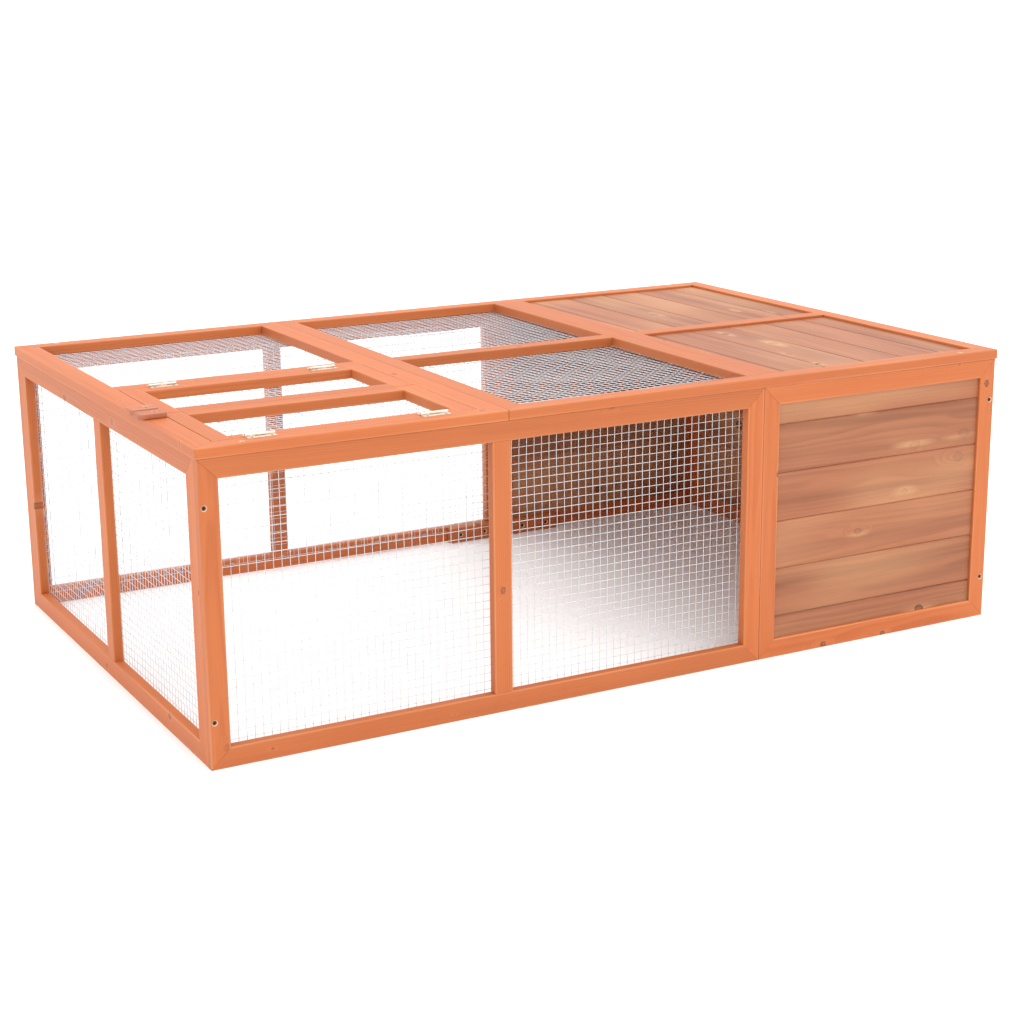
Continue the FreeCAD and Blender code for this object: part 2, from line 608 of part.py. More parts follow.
leaf("front_leaf", FRONT_LEAF_START, FRONT_LEAF_END, "Sizes.leaf_front_rail_width",
     "Sizes.leaf_rail_width", hinge_pilots(FRONT_AXIS, Y), [])
leaf("rear_leaf", REAR_LEAF_START, REAR_LEAF_END, "Sizes.leaf_rail_width",
     "Sizes.leaf_rail_width", [], hinge_pilots(REAR_AXIS, Y * -1))


# ---------------------------------------------------------------- wire mesh


def mesh_sheet(name, corner, u, v, length_u, length_v, lap_u="Sizes.mesh_lap"):
    """A flat sheet of crossed square wires with an opening for each cell. It covers a clear
    opening, and laps onto the frame round it. corner is the clear opening's corner, and u cross v
    points to the side on which the sheet lies."""
    laps = (value(lap_u), size("mesh_lap"))
    cell = size("mesh_cell")
    wire = size("wire")
    spans = [value(length) + 2 * lap for length, lap in zip((length_u, length_v), laps)]
    counts = [int((span - wire) // cell) for span in spans]
    edges = [(span - count * cell - wire) / 2 for span, count in zip(spans, counts)]

    def loop(u0, v0, u1, v1):
        corners = [u * u0 + v * v0, u * u1 + v * v0, u * u1 + v * v1, u * u0 + v * v1]
        return Part.makePolygon(corners + corners[:1])

    def opening(u0, v0):
        return loop(u0, v0 + cell - wire, u0 + cell - wire, v0)

    openings = []
    for i in range(counts[0]):
        for j in range(counts[1]):
            openings.append(opening(edges[0] + wire + i * cell, edges[1] + wire + j * cell))
    face = Part.Face([loop(0, 0, spans[0], spans[1])] + openings)
    sheet_of_mesh = doc.addObject("Part::Feature", "mesh_" + name)
    sheet_of_mesh.Shape = face.extrude(u.cross(v) * wire)
    start = FreeCAD.Vector(*[value(part) for part in corner]) - u * laps[0] - v * laps[1]
    sheet_of_mesh.Placement = FreeCAD.Placement(start, FreeCAD.Rotation())
    return node(sheet_of_mesh, name)


ROOF_LAP = ("(Sizes.roof_rail_width - Sizes.roof_overhang - Sizes.wall_thickness"
            " - Sizes.mesh_wall_gap)")
RUN_CLEAR = "(Sizes.run_length - 2 * Sizes.member_width)"
RUN_INNER = f"({WALL_LEFT} + Sizes.member_width)"
mesh_sheet("front_run_mesh",
           (RUN_INNER, f"({WALL_FRONT} + Sizes.wall_thickness)", "Sizes.member_width"),
           Z, X, WALL_CLEAR, RUN_CLEAR)
mesh_sheet("back_run_mesh",
           (RUN_INNER, f"({WALL_BACK} - Sizes.wall_thickness)", "Sizes.member_width"),
           X, Z, RUN_CLEAR, WALL_CLEAR)
mesh_sheet("left_end_mesh",
           (f"({WALL_LEFT} + Sizes.wall_thickness)", END_INNER, "Sizes.member_width"),
           Y, Z, END_CLEAR, WALL_CLEAR)
mesh_sheet("door_bay_mesh", (HATCH_LEFT, MID_RAIL_BACK, WALL_HEIGHT), Y, X, BACK_BAY,
           f"({HATCH_RIGHT} - {HATCH_LEFT})", ROOF_LAP)
mesh_sheet("roof_panel_mesh", (MESH_LEFT, ROOF_INNER_Y, WALL_HEIGHT), Y, X, INNER_DEPTH,
           f"({MESH_RIGHT} - {MESH_LEFT})", ROOF_LAP)
LEAF_INNER = f"({LEAF_LEFT} + {STILE})"
LEAF_CLEAR = f"({LEAF_LENGTH} - 2 * {STILE})"
mesh_sheet("front_leaf_mesh",
           (LEAF_INNER, f"({FRONT_LEAF_START} + Sizes.leaf_front_rail_width)", WALL_HEIGHT), Y, X,
           "(Sizes.front_leaf_depth - Sizes.leaf_front_rail_width - Sizes.leaf_rail_width)",
           LEAF_CLEAR)
mesh_sheet("rear_leaf_mesh",
           (LEAF_INNER, f"({REAR_LEAF_START} + Sizes.leaf_rail_width)", WALL_HEIGHT), Y, X,
           f"({REAR_LEAF_END} - {REAR_LEAF_START} - 2 * Sizes.leaf_rail_width)", LEAF_CLEAR)


# ---------------------------------------------------------------- splice and screws

splice_places = []
for offset in SPLICE_OFFSETS:
    for x in (f"({SPLICE_LEFT} + {offset})", f"({SPLICE_RIGHT} - {offset})"):
        splice_places.append((x, SPLICE_Y, "(Sizes.member_width / 2)"))

batten = block((SPLICE_LEFT, SPLICE_Y, "0"),
               ("Sizes.splice_length", "Sizes.wall_thickness", "Sizes.member_width"))
batten_tools = []
for place in splice_places:
    batten_tools += screw_hole(place, Y, "Sizes.wall_thickness")
node(cut(batten, batten_tools), "back_splice_batten")
group("splice_screws", [screw(place, Y, SPLICE_SCREW) for place in splice_places])

for name, y, direction in (("front_corner_screws", WALL_FRONT, Y),
                           ("back_corner_screws", WALL_BACK, Y * -1)):
    places = corner_screw_places(LEFT_SCREW_X, y) + corner_screw_places(RIGHT_SCREW_X, y)
    group(name, [screw(place, direction, WALL_SCREW) for place in places])
group("roof_screws", [screw((x, y, ROOF_TOP), DOWN, ROOF_SCREW)
                      for x in ROOF_SCREW_XS for y in (FRONT_SCREW_Y, BACK_SCREW_Y)])


# ---------------------------------------------------------------- butt hinges


def knuckle_spans(moving):
    """Start and length of each knuckle from the hinge's end: two outer ones on the fixed plate,
    the middle one on the moving plate."""
    middle = f"({THIRD} + Sizes.knuckle_gap)"
    far = f"(2 * {THIRD} + 2 * Sizes.knuckle_gap)"
    return [middle] if moving else ["0", far]


def hinge_half(x, axis_y, away, moving):
    """A plate on the wood, on the side that away points to, with its knuckles on the axis."""
    end = f"({x} - Sizes.hinge_length / 2)"
    setback = f"({KNUCKLE} + Sizes.knuckle_gap)"
    width = f"(Sizes.hinge_plate_width - {setback})"
    near = moved((end, axis_y, ROOF_TOP), away, setback)
    corner = near if away.y > 0 else moved(near, away, width)
    pieces = [block(corner, ("Sizes.hinge_length", width, PLATE))]
    for start in knuckle_spans(moving):
        left = f"({end} + {start})"
        pieces.append(rod((left, axis_y, AXIS_HEIGHT), X, KNUCKLE, THIRD))
        tab = (left, axis_y, ROOF_TOP)
        tab_corner = tab if away.y > 0 else moved(tab, away, setback)
        pieces.append(block(tab_corner, (THIRD, setback, PLATE)))
    whole = fused(pieces)
    bore = rod((end, axis_y, AXIS_HEIGHT), X, "(Sizes.pin_radius + Sizes.pin_gap)",
               "Sizes.hinge_length")
    tools = [bore]
    for place in hinge_screw_places(x, axis_y, away):
        tools += screw_hole(place, DOWN, PLATE, SMALL_SCREW)
    return cut(whole, tools)


pins = []
fixed_screws = []
for name, axis_y, to_leaf in (("front", FRONT_AXIS, Y), ("rear", REAR_AXIS, Y * -1)):
    to_rail = to_leaf * -1
    group(name + "_hinge_fixed_plates",
          [hinge_half(x, axis_y, to_rail, False) for x in HINGE_XS])
    group(name + "_hinge_leaf_plates",
          [hinge_half(x, axis_y, to_leaf, True) for x in HINGE_XS])
    leaf_screws = []
    for x in HINGE_XS:
        start = (f"({x} - Sizes.hinge_length / 2)", axis_y, AXIS_HEIGHT)
        pins.append(rod(start, X, "Sizes.pin_radius", "Sizes.hinge_length"))
        for place in hinge_screw_places(x, axis_y, to_rail):
            fixed_screws.append(screw(place, DOWN, "Sizes.small_screw_length", SMALL_SCREW))
        for place in hinge_screw_places(x, axis_y, to_leaf):
            leaf_screws.append(screw(place, DOWN, "Sizes.small_screw_length", SMALL_SCREW))
    group(name + "_leaf_hinge_screws", leaf_screws)
group("hinge_pins", pins)
group("fixed_hinge_screws", fixed_screws)


# ---------------------------------------------------------------- turn buttons


def turn_button(name, y):
    """A wooden bar that turns on one screw. It rests across the rail with its head outwards, and
    half a turn brings the head over the leaf."""
    corner = (f"({BUTTON_X} - Sizes.button_head)", f"({y} - Sizes.button_width / 2)",
              f"({ROOF_TOP} + Sizes.button_lift)")
    bar = block(corner, ("(Sizes.button_head + Sizes.button_tail)", "Sizes.button_width",
                         "Sizes.button_thickness"))
    doc.recompute()
    upright = []
    for index, edge in enumerate(bar.Shape.Edges, start=1):
        ends = [vertex.Point for vertex in edge.Vertexes]
        if abs(ends[0].z - ends[1].z) > size("button_thickness") / 2:
            upright.append((index, size("button_corner"), size("button_corner")))
    rounded = doc.addObject("Part::Fillet", "rounded_" + name)
    rounded.Base = bar
    rounded.Edges = upright
    place = (BUTTON_X, y, BUTTON_TOP)
    tools = screw_hole(place, DOWN, "Sizes.button_thickness", LONG_SCREW,
                       "Sizes.button_screw_gap")
    return node(cut(rounded, tools), name)


turn_button("front_turn_button", FRONT_BUTTON_Y)
turn_button("rear_turn_button", REAR_BUTTON_Y)
group("button_screws", [screw((BUTTON_X, y, BUTTON_TOP), DOWN, BUTTON_SCREW)
                        for y in (FRONT_BUTTON_Y, REAR_BUTTON_Y)])

# ---------------------------------------------------------------- checks and export

doc.recompute()
for thing in doc.Objects:
    bad = [state for state in thing.State if state in ("Invalid", "Error")]
    if bad:
        raise RuntimeError("%s (%s) is %s" % (thing.Name, thing.Label, bad))

os.makedirs("parts", exist_ok=True)
for thing in NODES:
    shape = thing.Shape
    if shape.isNull() or not shape.isValid() or not shape.Solids:
        raise RuntimeError("%s has no valid solid" % thing.Label)
for thing in NODES:
    thing.Shape.exportStep("parts/%s.step" % thing.Label)
print("%d sub-parts" % len(NODES))
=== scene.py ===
"""Looks of a low rabbit hutch, built round its packed frame.

Timber, boards, wire, screws and turn buttons are surfaces worked out from the places of the frame's
own nodes. Lengths are metres, and X, Y and Z are the frame's axes.
"""

import json
import math
import zlib

import bpy
import numpy as np
from bpy.props import FloatProperty, FloatVectorProperty, IntProperty, PointerProperty
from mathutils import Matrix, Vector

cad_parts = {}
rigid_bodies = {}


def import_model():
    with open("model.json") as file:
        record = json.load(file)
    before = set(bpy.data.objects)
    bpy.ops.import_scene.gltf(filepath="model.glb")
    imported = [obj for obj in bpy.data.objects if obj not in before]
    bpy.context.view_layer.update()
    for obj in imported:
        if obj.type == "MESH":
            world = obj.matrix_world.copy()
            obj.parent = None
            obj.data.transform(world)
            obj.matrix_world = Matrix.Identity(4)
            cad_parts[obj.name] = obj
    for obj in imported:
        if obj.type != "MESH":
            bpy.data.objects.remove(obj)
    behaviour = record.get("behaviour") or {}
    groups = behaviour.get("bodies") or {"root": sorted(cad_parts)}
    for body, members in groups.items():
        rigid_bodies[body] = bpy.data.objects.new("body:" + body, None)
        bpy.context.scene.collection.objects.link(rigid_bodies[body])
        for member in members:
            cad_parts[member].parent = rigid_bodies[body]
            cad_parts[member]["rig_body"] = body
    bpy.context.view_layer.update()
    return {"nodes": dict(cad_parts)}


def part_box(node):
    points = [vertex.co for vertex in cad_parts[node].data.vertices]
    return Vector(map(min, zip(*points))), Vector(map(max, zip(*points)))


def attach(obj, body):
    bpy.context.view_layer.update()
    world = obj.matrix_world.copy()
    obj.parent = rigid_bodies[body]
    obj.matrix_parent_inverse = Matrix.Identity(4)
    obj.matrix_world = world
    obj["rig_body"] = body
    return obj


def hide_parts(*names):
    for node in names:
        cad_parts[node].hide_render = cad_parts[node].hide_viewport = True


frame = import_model()

bl_info = {
    "name": "Rabbit Hutch",
    "version": (1, 0, 0),
    "blender": (4, 5, 0),
    "location": "View3D > Sidebar > Hutch",
    "description": "Builds the timber, boards, wire mesh and fittings of a low rabbit hutch",
    "category": "Add Mesh",
}

X, Y, Z = range(3)
SAME_PLACE = 1e-5      # corners nearer than this are one


def length(name, description, default):
    """A property that holds a length."""
    return FloatProperty(name=name, description=description, default=default, min=0.0,
                         subtype="DISTANCE", unit="LENGTH", precision=5)


def colour(name, description, default):
    """A property that holds a linear colour."""
    return FloatVectorProperty(name=name, description=description, default=default, size=3,
                               min=0.0, max=1.0, subtype="COLOR")


def share(name, description, default):
    """A property that holds a share from 0 to 1."""
    return FloatProperty(name=name, description=description, default=default, min=0.0, max=1.0,
                         subtype="FACTOR")


# ------------------------------------------------------------------ settings


class HutchTimber(bpy.types.PropertyGroup):
    """Planed and stained frame timber."""

    arris: length("Arris", "Rounding of the long edges", 0.0011)
    end_arris: length("End arris", "Rounding where a member meets the next", 0.00035)
    early: colour("Early wood", "Pale part of a growth ring under the stain", (0.475, 0.126, 0.030))
    late: colour("Late wood", "Dark part of a growth ring under the stain", (0.345, 0.075, 0.016))
    pale: colour("Worn wood", "Edges and streaks that took less stain", (0.62, 0.25, 0.105))
    knot: colour("Knot", "Small sound knots", (0.15, 0.036, 0.013))
    raw: colour("Raw wood", "Cut rims of the screw holes", (0.70, 0.50, 0.32))
    ring: length("Ring width", "Growth ring to growth ring", 0.0028)
    knot_spacing: length("Knot spacing", "Size of the patch that may hold one knot", 0.060)
    knot_radius: length("Knot radius", "Usual knot", 0.0026)
    knots: share("Knots", "Share of the patches that hold a knot", 0.20)


class HutchButtons(bpy.types.PropertyGroup):
    """Stained wood of the turn buttons."""

    early: colour("Early wood", "Pale part of a growth ring", (0.40, 0.125, 0.058))
    late: colour("Late wood", "Dark part of a growth ring", (0.22, 0.058, 0.026))
    pale: colour("Worn wood", "Edges that took less stain", (0.55, 0.22, 0.115))
    knot: colour("Knot", "Small sound knots", (0.12, 0.030, 0.012))
    ring: length("Ring width", "Growth ring to growth ring", 0.0022)
    knot_spacing: length("Knot spacing", "Size of the patch that may hold one knot", 0.050)
    knot_radius: length("Knot radius", "Usual knot", 0.0014)
    knots: share("Knots", "Share of the patches that hold a knot", 0.10)


class HutchBoards(bpy.types.PropertyGroup):
    """Tongue-and-groove boards of the shelter."""

    cover: length("Cover width", "Board to board", 0.0795)
    first_wall: length("First wall board", "Lowest board, ripped down", 0.037)
    first_roof: length("First roof board", "Leftmost board, ripped down", 0.024)
    least: length("Least strip", "A narrower last strip stays on the board before", 0.012)
    bevel: length("Bevel", "Bevel of the long edges on the weather side", 0.002)
    tongue: length("Tongue", "Length of the tongue", 0.004)
    tongue_near: length("Tongue top", "Weather face to the tongue", 0.004)
    tongue_far: length("Tongue bottom", "Weather face to the back of the tongue", 0.007)
    play: length("Play", "Tongue to groove", 0.0003)
    end_arris: length("End arris", "Rounding of a board's ends", 0.0002)
    early: colour("Early wood", "Pale part of a growth ring", (0.305, 0.098, 0.043))
    late: colour("Late wood", "Dark part of a growth ring", (0.165, 0.045, 0.019))
    pale: colour("Sapwood", "Pale streaks beside the knots", (0.54, 0.285, 0.135))
    knot: colour("Knot", "Knots in the boards", (0.060, 0.026, 0.015))
    ring: length("Ring width", "Growth ring to growth ring", 0.0050)
    knot_spacing: length("Knot spacing", "Size of the patch that may hold one knot", 0.105)
    knot_radius: length("Knot radius", "Usual knot", 0.0050)
    knots: share("Knots", "Share of the patches that hold a knot", 0.26)


class HutchMesh(bpy.types.PropertyGroup):
    """Welded and galvanised wire mesh."""

    cell: length("Cell", "Wire to wire", 0.0127)
    wire: length("Wire", "Diameter of the wire", 0.00095)
    press: length("Press", "How far crossing wires sink into each other", 0.00012)
    sway: length("Sway", "How far wires wander in the sheet", 0.0011)
    slack: length("Slack", "How far the sheet bulges between its staples", 0.0022)
    sides: IntProperty(name="Sides", description="Sides of a wire", default=6, min=4, max=12)
    staple_spacing: length("Staple spacing", "Staple to staple", 0.095)
    crown: length("Staple crown", "Width of a staple", 0.0095)
    leg: length("Staple leg", "Depth of a staple in the wood", 0.008)
    zinc: colour("Zinc", "Galvanised wire", (0.66, 0.67, 0.70))


class HutchFittings(bpy.types.PropertyGroup):
    """Hinges, screws and turn buttons."""

    # the plate's warm tint is painted reflection of the orange wood on plain zinc plating
    plate: colour("Hinge plate", "Warm zinc plating", (0.82, 0.70, 0.58))
    # the screws' near-black colour is painted shade of the sunk holes on zinc-plated heads
    screw: colour("Screw", "Darker zinc plating", (0.12, 0.10, 0.085))
    mouth: length("Hole mouth", "Radius of a countersunk hole at the face", 0.0046)
    throat: length("Hole throat", "Radius of the hole below the countersink", 0.0034)
    sink: length("Sink", "Screw heads below the face of the wood", 0.0018)
    shank: length("Shank", "Radius of a long screw below its head", 0.002)
    button_sink: length("Button sink", "Heads of the button screws below the wood", 0.0005)
    small_head: length("Small head", "Radius of a hinge screw's head", 0.0021)
    small_shank: length("Small shank", "Radius of a hinge screw below its head", 0.0011)
    button_corner: length("Button corner", "Rounding of a turn button in plan", 0.004)
    button_arris: length("Button arris", "Rounding of a turn button's faces", 0.0012)


class HutchStage(bpy.types.PropertyGroup):
    """Camera, floor and lights."""

    camera_place: FloatVectorProperty(name="Camera place", description="Where the camera stands",
                                      size=3, default=(-1.5758, -2.9356, 1.072),
                                      subtype="TRANSLATION", unit="LENGTH")
    camera_turn: FloatVectorProperty(name="Camera turn", description="Which way the camera looks",
                                     size=3, default=(1.30814, 0.00904, -0.50154),
                                     subtype="EULER", unit="ROTATION")
    lens: FloatProperty(name="Lens", description="Focal length on a 36 mm wide sensor",
                        default=69.95, subtype="DISTANCE_CAMERA")
    floor: colour("Floor", "Pale floor", (0.92, 0.92, 0.92))
    sky: FloatProperty(name="Sky", description="Strength of the even light all round",
                       default=1.35, min=0.0)
    key: FloatProperty(name="Key light", description="Strength of the soft light overhead",
                       default=1.9, min=0.0)
    spread: FloatProperty(name="Key spread", description="How wide the overhead light is",
                          default=math.radians(75), min=0.0, max=math.pi, subtype="ANGLE",
                          unit="ROTATION")


# ------------------------------------------------------------------ reading the frame


def solids(name):
    """The corners of each separate solid of a CAD node, in order of their lowest corners.

    Corners at one place are merged, and the triangles then pass the lowest corner number round
    until each solid has one number.
    """
    mesh = frame["nodes"][name].data
    mesh.calc_loop_triangles()
    points = np.empty(len(mesh.vertices) * 3)
    mesh.vertices.foreach_get("co", points)
    points = points.reshape(-1, 3)
    triangles = np.empty(len(mesh.loop_triangles) * 3, np.int32)
    mesh.loop_triangles.foreach_get("vertices", triangles)
    keys = np.round(points / SAME_PLACE).astype(np.int64)
    first, merged = np.unique(keys, axis=0, return_index=True, return_inverse=True)[1:]
    points = points[first]
    triangles = merged.ravel()[triangles].reshape(-1, 3)
    number = np.arange(len(points))
    while True:
        lowest = number[triangles].min(axis=1)
        passed = number.copy()
        np.minimum.at(passed, triangles.ravel(), np.repeat(lowest, 3))
        if (passed == number).all():
            break
        number = passed
    parts = [points[number == one] for one in np.unique(number)]
    return sorted(parts, key=lambda part: tuple(part.min(axis=0).round(4)))


def box(name):
    """Lowest and highest corner of a CAD node, as arrays."""
    low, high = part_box(name)
    return np.array(low), np.array(high)


def seeded(name):
    """Random numbers of a piece's own, the same in every run."""
    return np.random.default_rng(zlib.crc32(name.encode()))


def screw_places(name):
    """For each screw of a CAD node: middle of its head's face, its axis, its sense, its length.
    The head is at the end with the wider face."""
    places = []
    for points in solids(name):
        low, high = points.min(axis=0), points.max(axis=0)
        axis = int(np.argmax(high - low))
        spread = [np.ptp(points[abs(points[:, axis] - end) < SAME_PLACE], axis=0).max()
                  for end in (low[axis], high[axis])]
        sense = 1 if spread[0] > spread[1] else -1
        head = (low + high) / 2
        head[axis] = low[axis] if sense > 0 else high[axis]
        places.append((head, axis, sense, high[axis] - low[axis]))
    return places


# ------------------------------------------------------------------ meshes


def fill_mesh(name, points, faces, finishes=None):
    """A mesh from an array of points and a list of faces, each with the number of its finish."""
    mesh = bpy.data.meshes.new(name)
    mesh.from_pydata(points.tolist(), [], faces)
    if finishes is not None:
        mesh.polygons.foreach_set("material_index", finishes)
    mesh.validate()
    return mesh


def add_piece(name, mesh, materials, body, stands_for=(), crease=40.0):
    """Put a finished mesh in the scene as a piece that rides on a body."""
    for material in materials:
        mesh.materials.append(material)
    mesh.polygons.foreach_set("use_smooth", [True] * len(mesh.polygons))
    mesh.set_sharp_from_angle(angle=math.radians(crease))
    piece = bpy.data.objects.new(name, mesh)
    bpy.context.scene.collection.objects.link(piece)
    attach(piece, body)
    if stands_for:
        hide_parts(*stands_for)
    return piece


def body_of(name):
    """The body that a CAD node rides on."""
    return frame["nodes"][name]["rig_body"]


def strip_faces(rings, around, closed=True):
    """Faces between neighbouring rings of points, with a face over the first and the last ring."""
    ring = np.arange(rings - 1)[:, None] * around
    step = np.arange(around)[None, :]
    after = (step + 1) % around
    quads = np.stack([ring + step, ring + after, ring + around + after, ring + around + step], -1)
    faces = quads.reshape(-1, 4).tolist()
    if closed:
        faces.append(list(range(around))[::-1])
        faces.append(list(range((rings - 1) * around, rings * around)))
    return faces


def turned_surface(radii, depths, around, place, axis, sense):
    """Points of a surface turned about an axis: each row has one radius and one depth, and the
    point at angle a lies at radius times the cosine and sine of a, off the axis."""
    angle = np.linspace(0, 2 * math.pi, around, endpoint=False)
    radii = np.broadcast_to(np.asarray(radii, float).reshape(len(radii), -1), (len(radii), around))
    depths = np.broadcast_to(np.asarray(depths, float).reshape(len(depths), -1), radii.shape)
    points = np.empty(radii.shape + (3,))
    points[..., axis] = place[axis] + sense * depths
    points[..., (axis + 1) % 3] = place[(axis + 1) % 3] + radii * np.cos(angle)
    points[..., (axis + 2) % 3] = place[(axis + 2) % 3] + radii * np.sin(angle) * sense
    return points.reshape(-1, 3)


def joined(parts):
    """One array of points and one list of faces from several."""
    points = np.concatenate([part[0] for part in parts])
    faces = []
    start = 0
    for part in parts:
        faces += [[corner + start for corner in face] for face in part[1]]
        start += len(part[0])
    return points, faces


def bored(points, faces, cutters):
    """The same closed shape with turned holes cut in it, and the finish of each face: 0 outside,
    1 in a hole."""
    objects = []
    for name, part, finish in (("blank", (points, faces), 0), ("cutter", joined(cutters), 1)):
        mesh = fill_mesh(name, part[0], part[1], [finish] * len(part[1]))
        thing = bpy.data.objects.new(name, mesh)
        bpy.context.scene.collection.objects.link(thing)
        objects.append(thing)
    blank, cutter = objects
    cut = blank.modifiers.new("holes", "BOOLEAN")
    cut.object = cutter
    cut.operation = "DIFFERENCE"
    cut.solver = "EXACT"
    cut.material_mode = "INDEX"
    seen = blank.evaluated_get(bpy.context.evaluated_depsgraph_get())
    result = bpy.data.meshes.new_from_object(seen)
    points = np.array([vertex.co for vertex in result.vertices])
    faces = [list(face.vertices) for face in result.polygons]
    finishes = [face.material_index for face in result.polygons]
    for thing in objects:
        mesh = thing.data
        bpy.data.objects.remove(thing)
        bpy.data.meshes.remove(mesh)
    bpy.data.meshes.remove(result)
    return points, faces, finishes


# ------------------------------------------------------------------ timber


QUARTER = np.radians([0, 30, 60, 90])
MARGIN = 3                # corner to the point on each flat side, in radii of the corner

TURN = 0.9                # a member's rings turn up to this much either way, in radians
NEAR_PITH = 0.035         # least and most distance to the pith
FAR_PITH = 0.09
LEAN = 0.02               # its grain leans up to this much either way
ROOM = 20                 # a member's pattern starts somewhere between 0 and this
ARRIS_FROM = 0.6          # where an arris starts to fade, and over how much, in its radii
ARRIS_OVER = 2.4


def eased_rectangle(width, depth, radius):
    """A closed section, anticlockwise: a quarter circle at each corner, and a point on each flat
    side a little past it."""
    margin = min(MARGIN * radius, width / 4, depth / 4)
    corners = []
    for number, (x, y) in enumerate(((width, 0), (width, depth), (0, depth), (0, 0))):
        start = QUARTER + math.radians(90 * number - 90)
        centre = np.array([abs(x - radius), abs(y - radius)])
        arc = centre + radius * np.column_stack([np.cos(start), np.sin(start)])
        before = arc[0] - (margin - radius) * np.array([-math.sin(start[0]), math.cos(start[0])])
        after = arc[-1] + (margin - radius) * np.array([-math.sin(start[-1]), math.cos(start[-1])])
        corners += [before[None], arc, after[None]]
    return np.concatenate(corners)


class Member:
    """A length of timber, read from a CAD solid. It runs along its longest side in the plane of
    the panel, and each end may be cut at an angle across its width."""

    def __init__(self, points, through):
        self.low, self.high = points.min(axis=0), points.max(axis=0)
        span = self.high - self.low
        flat = [axis for axis in (X, Y, Z) if axis != through]
        self.through = through
        self.along = max(flat, key=lambda axis: span[axis])
        self.across = sum(flat) - self.along
        self.width = span[self.across]
        self.depth = span[self.through]
        self.ends = []
        for side in (self.low, self.high):
            edge = points[abs(points[:, self.across] - side[self.across]) < SAME_PLACE]
            self.ends.append((edge[:, self.along].min(), edge[:, self.along].max()))

    def surface(self, section, shrink):
        """The section carried from one end to the other, drawn in a little at both ends. The end
        at width w lies on the straight line between the ends of the two edges."""
        middle = section.mean(axis=0)
        rows = []
        for last, inset, offset in ((0, shrink, 0), (0, 0, shrink), (1, 0, shrink), (1, shrink, 0)):
            size = np.ptp(section, axis=0)
            drawn = middle + (section - middle) * (1 - 2 * inset / size)
            near, far = self.ends[0][last], self.ends[1][last]
            place = near + (far - near) * np.clip(drawn[:, 0] / self.width, 0, 1)
            row = np.empty((len(section), 3))
            row[:, self.along] = place - offset if last else place + offset
            row[:, self.across] = self.low[self.across] + drawn[:, 0]
            row[:, self.through] = self.low[self.through] + drawn[:, 1]
            rows.append(row)
        faces = strip_faces(len(rows), len(section))
        if (self.along + 1) % 3 != self.across:
            faces = [face[::-1] for face in faces]
        return np.concatenate(rows), faces

    def marks(self, points, random, radius):
        """What the wood's pattern reads at each point. Grain: place from the pith, turned by a
        random angle about the member's length. Place: place on the member's face, from a random
        start. Edge: 1 on an arris, falling to 0 on the flats. Shade: one number a member."""
        run = points[:, self.along]
        across = points[:, self.across] - self.low[self.across]
        depth = points[:, self.through] - self.low[self.through]
        angle = random.uniform(-TURN, TURN)
        pith = random.uniform(NEAR_PITH, FAR_PITH)
        lean = random.uniform(-LEAN, LEAN)
        start = random.uniform(0, ROOM, 3)
        side = across - self.width / 2 + lean * (run - run.mean())
        down = depth - self.depth / 2
        grain = np.column_stack([run + start[0],
                                 side * math.cos(angle) - down * math.sin(angle),
                                 side * math.sin(angle) + down * math.cos(angle) + pith])
        place = np.column_stack([run + start[1], across + start[2], depth])
        nearness = (np.minimum(across, self.width - across)
                    + np.minimum(depth, self.depth - depth))
        edge = np.clip(1 - (nearness - ARRIS_FROM * radius) / (ARRIS_OVER * radius), 0, 1)
        shade = np.full(len(points), random.uniform(0, 1))
        return grain, place, edge, shade


def holes_in(low, high, holes):
    """The cutters whose screws start inside a box."""
    return [cutter for place, cutter in holes
            if (place > low - SAME_PLACE).all() and (place < high + SAME_PLACE).all()]


def timber_piece(name, members, sections, materials, radius, shrink, holes=(),
                 suffix="_timber"):
    """A piece of one or more members that stands for a CAD node."""
    random = seeded(name)
    parts, finishes, marks = [], [], []
    for member, section in zip(members, sections):
        points, faces = member.surface(section, shrink)
        here = holes_in(member.low, member.high, holes)
        finish = [0] * len(faces)
        if here:
            points, faces, finish = bored(points, faces, here)
        marks.append(member.marks(points, random, radius))
        parts.append((points, faces))
        finishes += finish
    points, faces = joined(parts)
    mesh = fill_mesh(name + suffix, points, faces, finishes)
    write_marks(mesh, [np.concatenate(column) for column in zip(*marks)])
    return add_piece(name + suffix, mesh, materials, body_of(name), [name])


def write_marks(mesh, marks):
    """Store grain, place, edge and shade on the points of a mesh."""
    for name, values in zip(("grain", "place", "edge", "shade"), marks):
        if values.ndim == 2:
            layer = mesh.attributes.new(name, "FLOAT_VECTOR", "POINT")
            layer.data.foreach_set("vector", values.astype(np.float32).ravel())
        else:
            layer = mesh.attributes.new(name, "FLOAT", "POINT")
            layer.data.foreach_set("value", values.astype(np.float32))


AROUND_HOLE = 20
HOLE_DEPTH = 3            # in sinks of the screw heads


def hole_cutters(names, fittings):
    """A countersunk cutter at each screw of some CAD nodes, with the screw's place: wide at the
    face, then a cone, then a plain hole."""
    cutters = []
    cone = fittings.mouth - fittings.throat
    radii = [fittings.mouth, fittings.mouth, fittings.throat, fittings.throat]
    depths = [-fittings.sink, 0, cone, HOLE_DEPTH * fittings.sink]
    for name in names:
        for place, axis, sense, _ in screw_places(name):
            points = turned_surface(radii, depths, AROUND_HOLE, place, axis, sense)
            cutters.append((place, (points, strip_faces(len(radii), AROUND_HOLE))))
    return cutters


# ------------------------------------------------------------------ materials


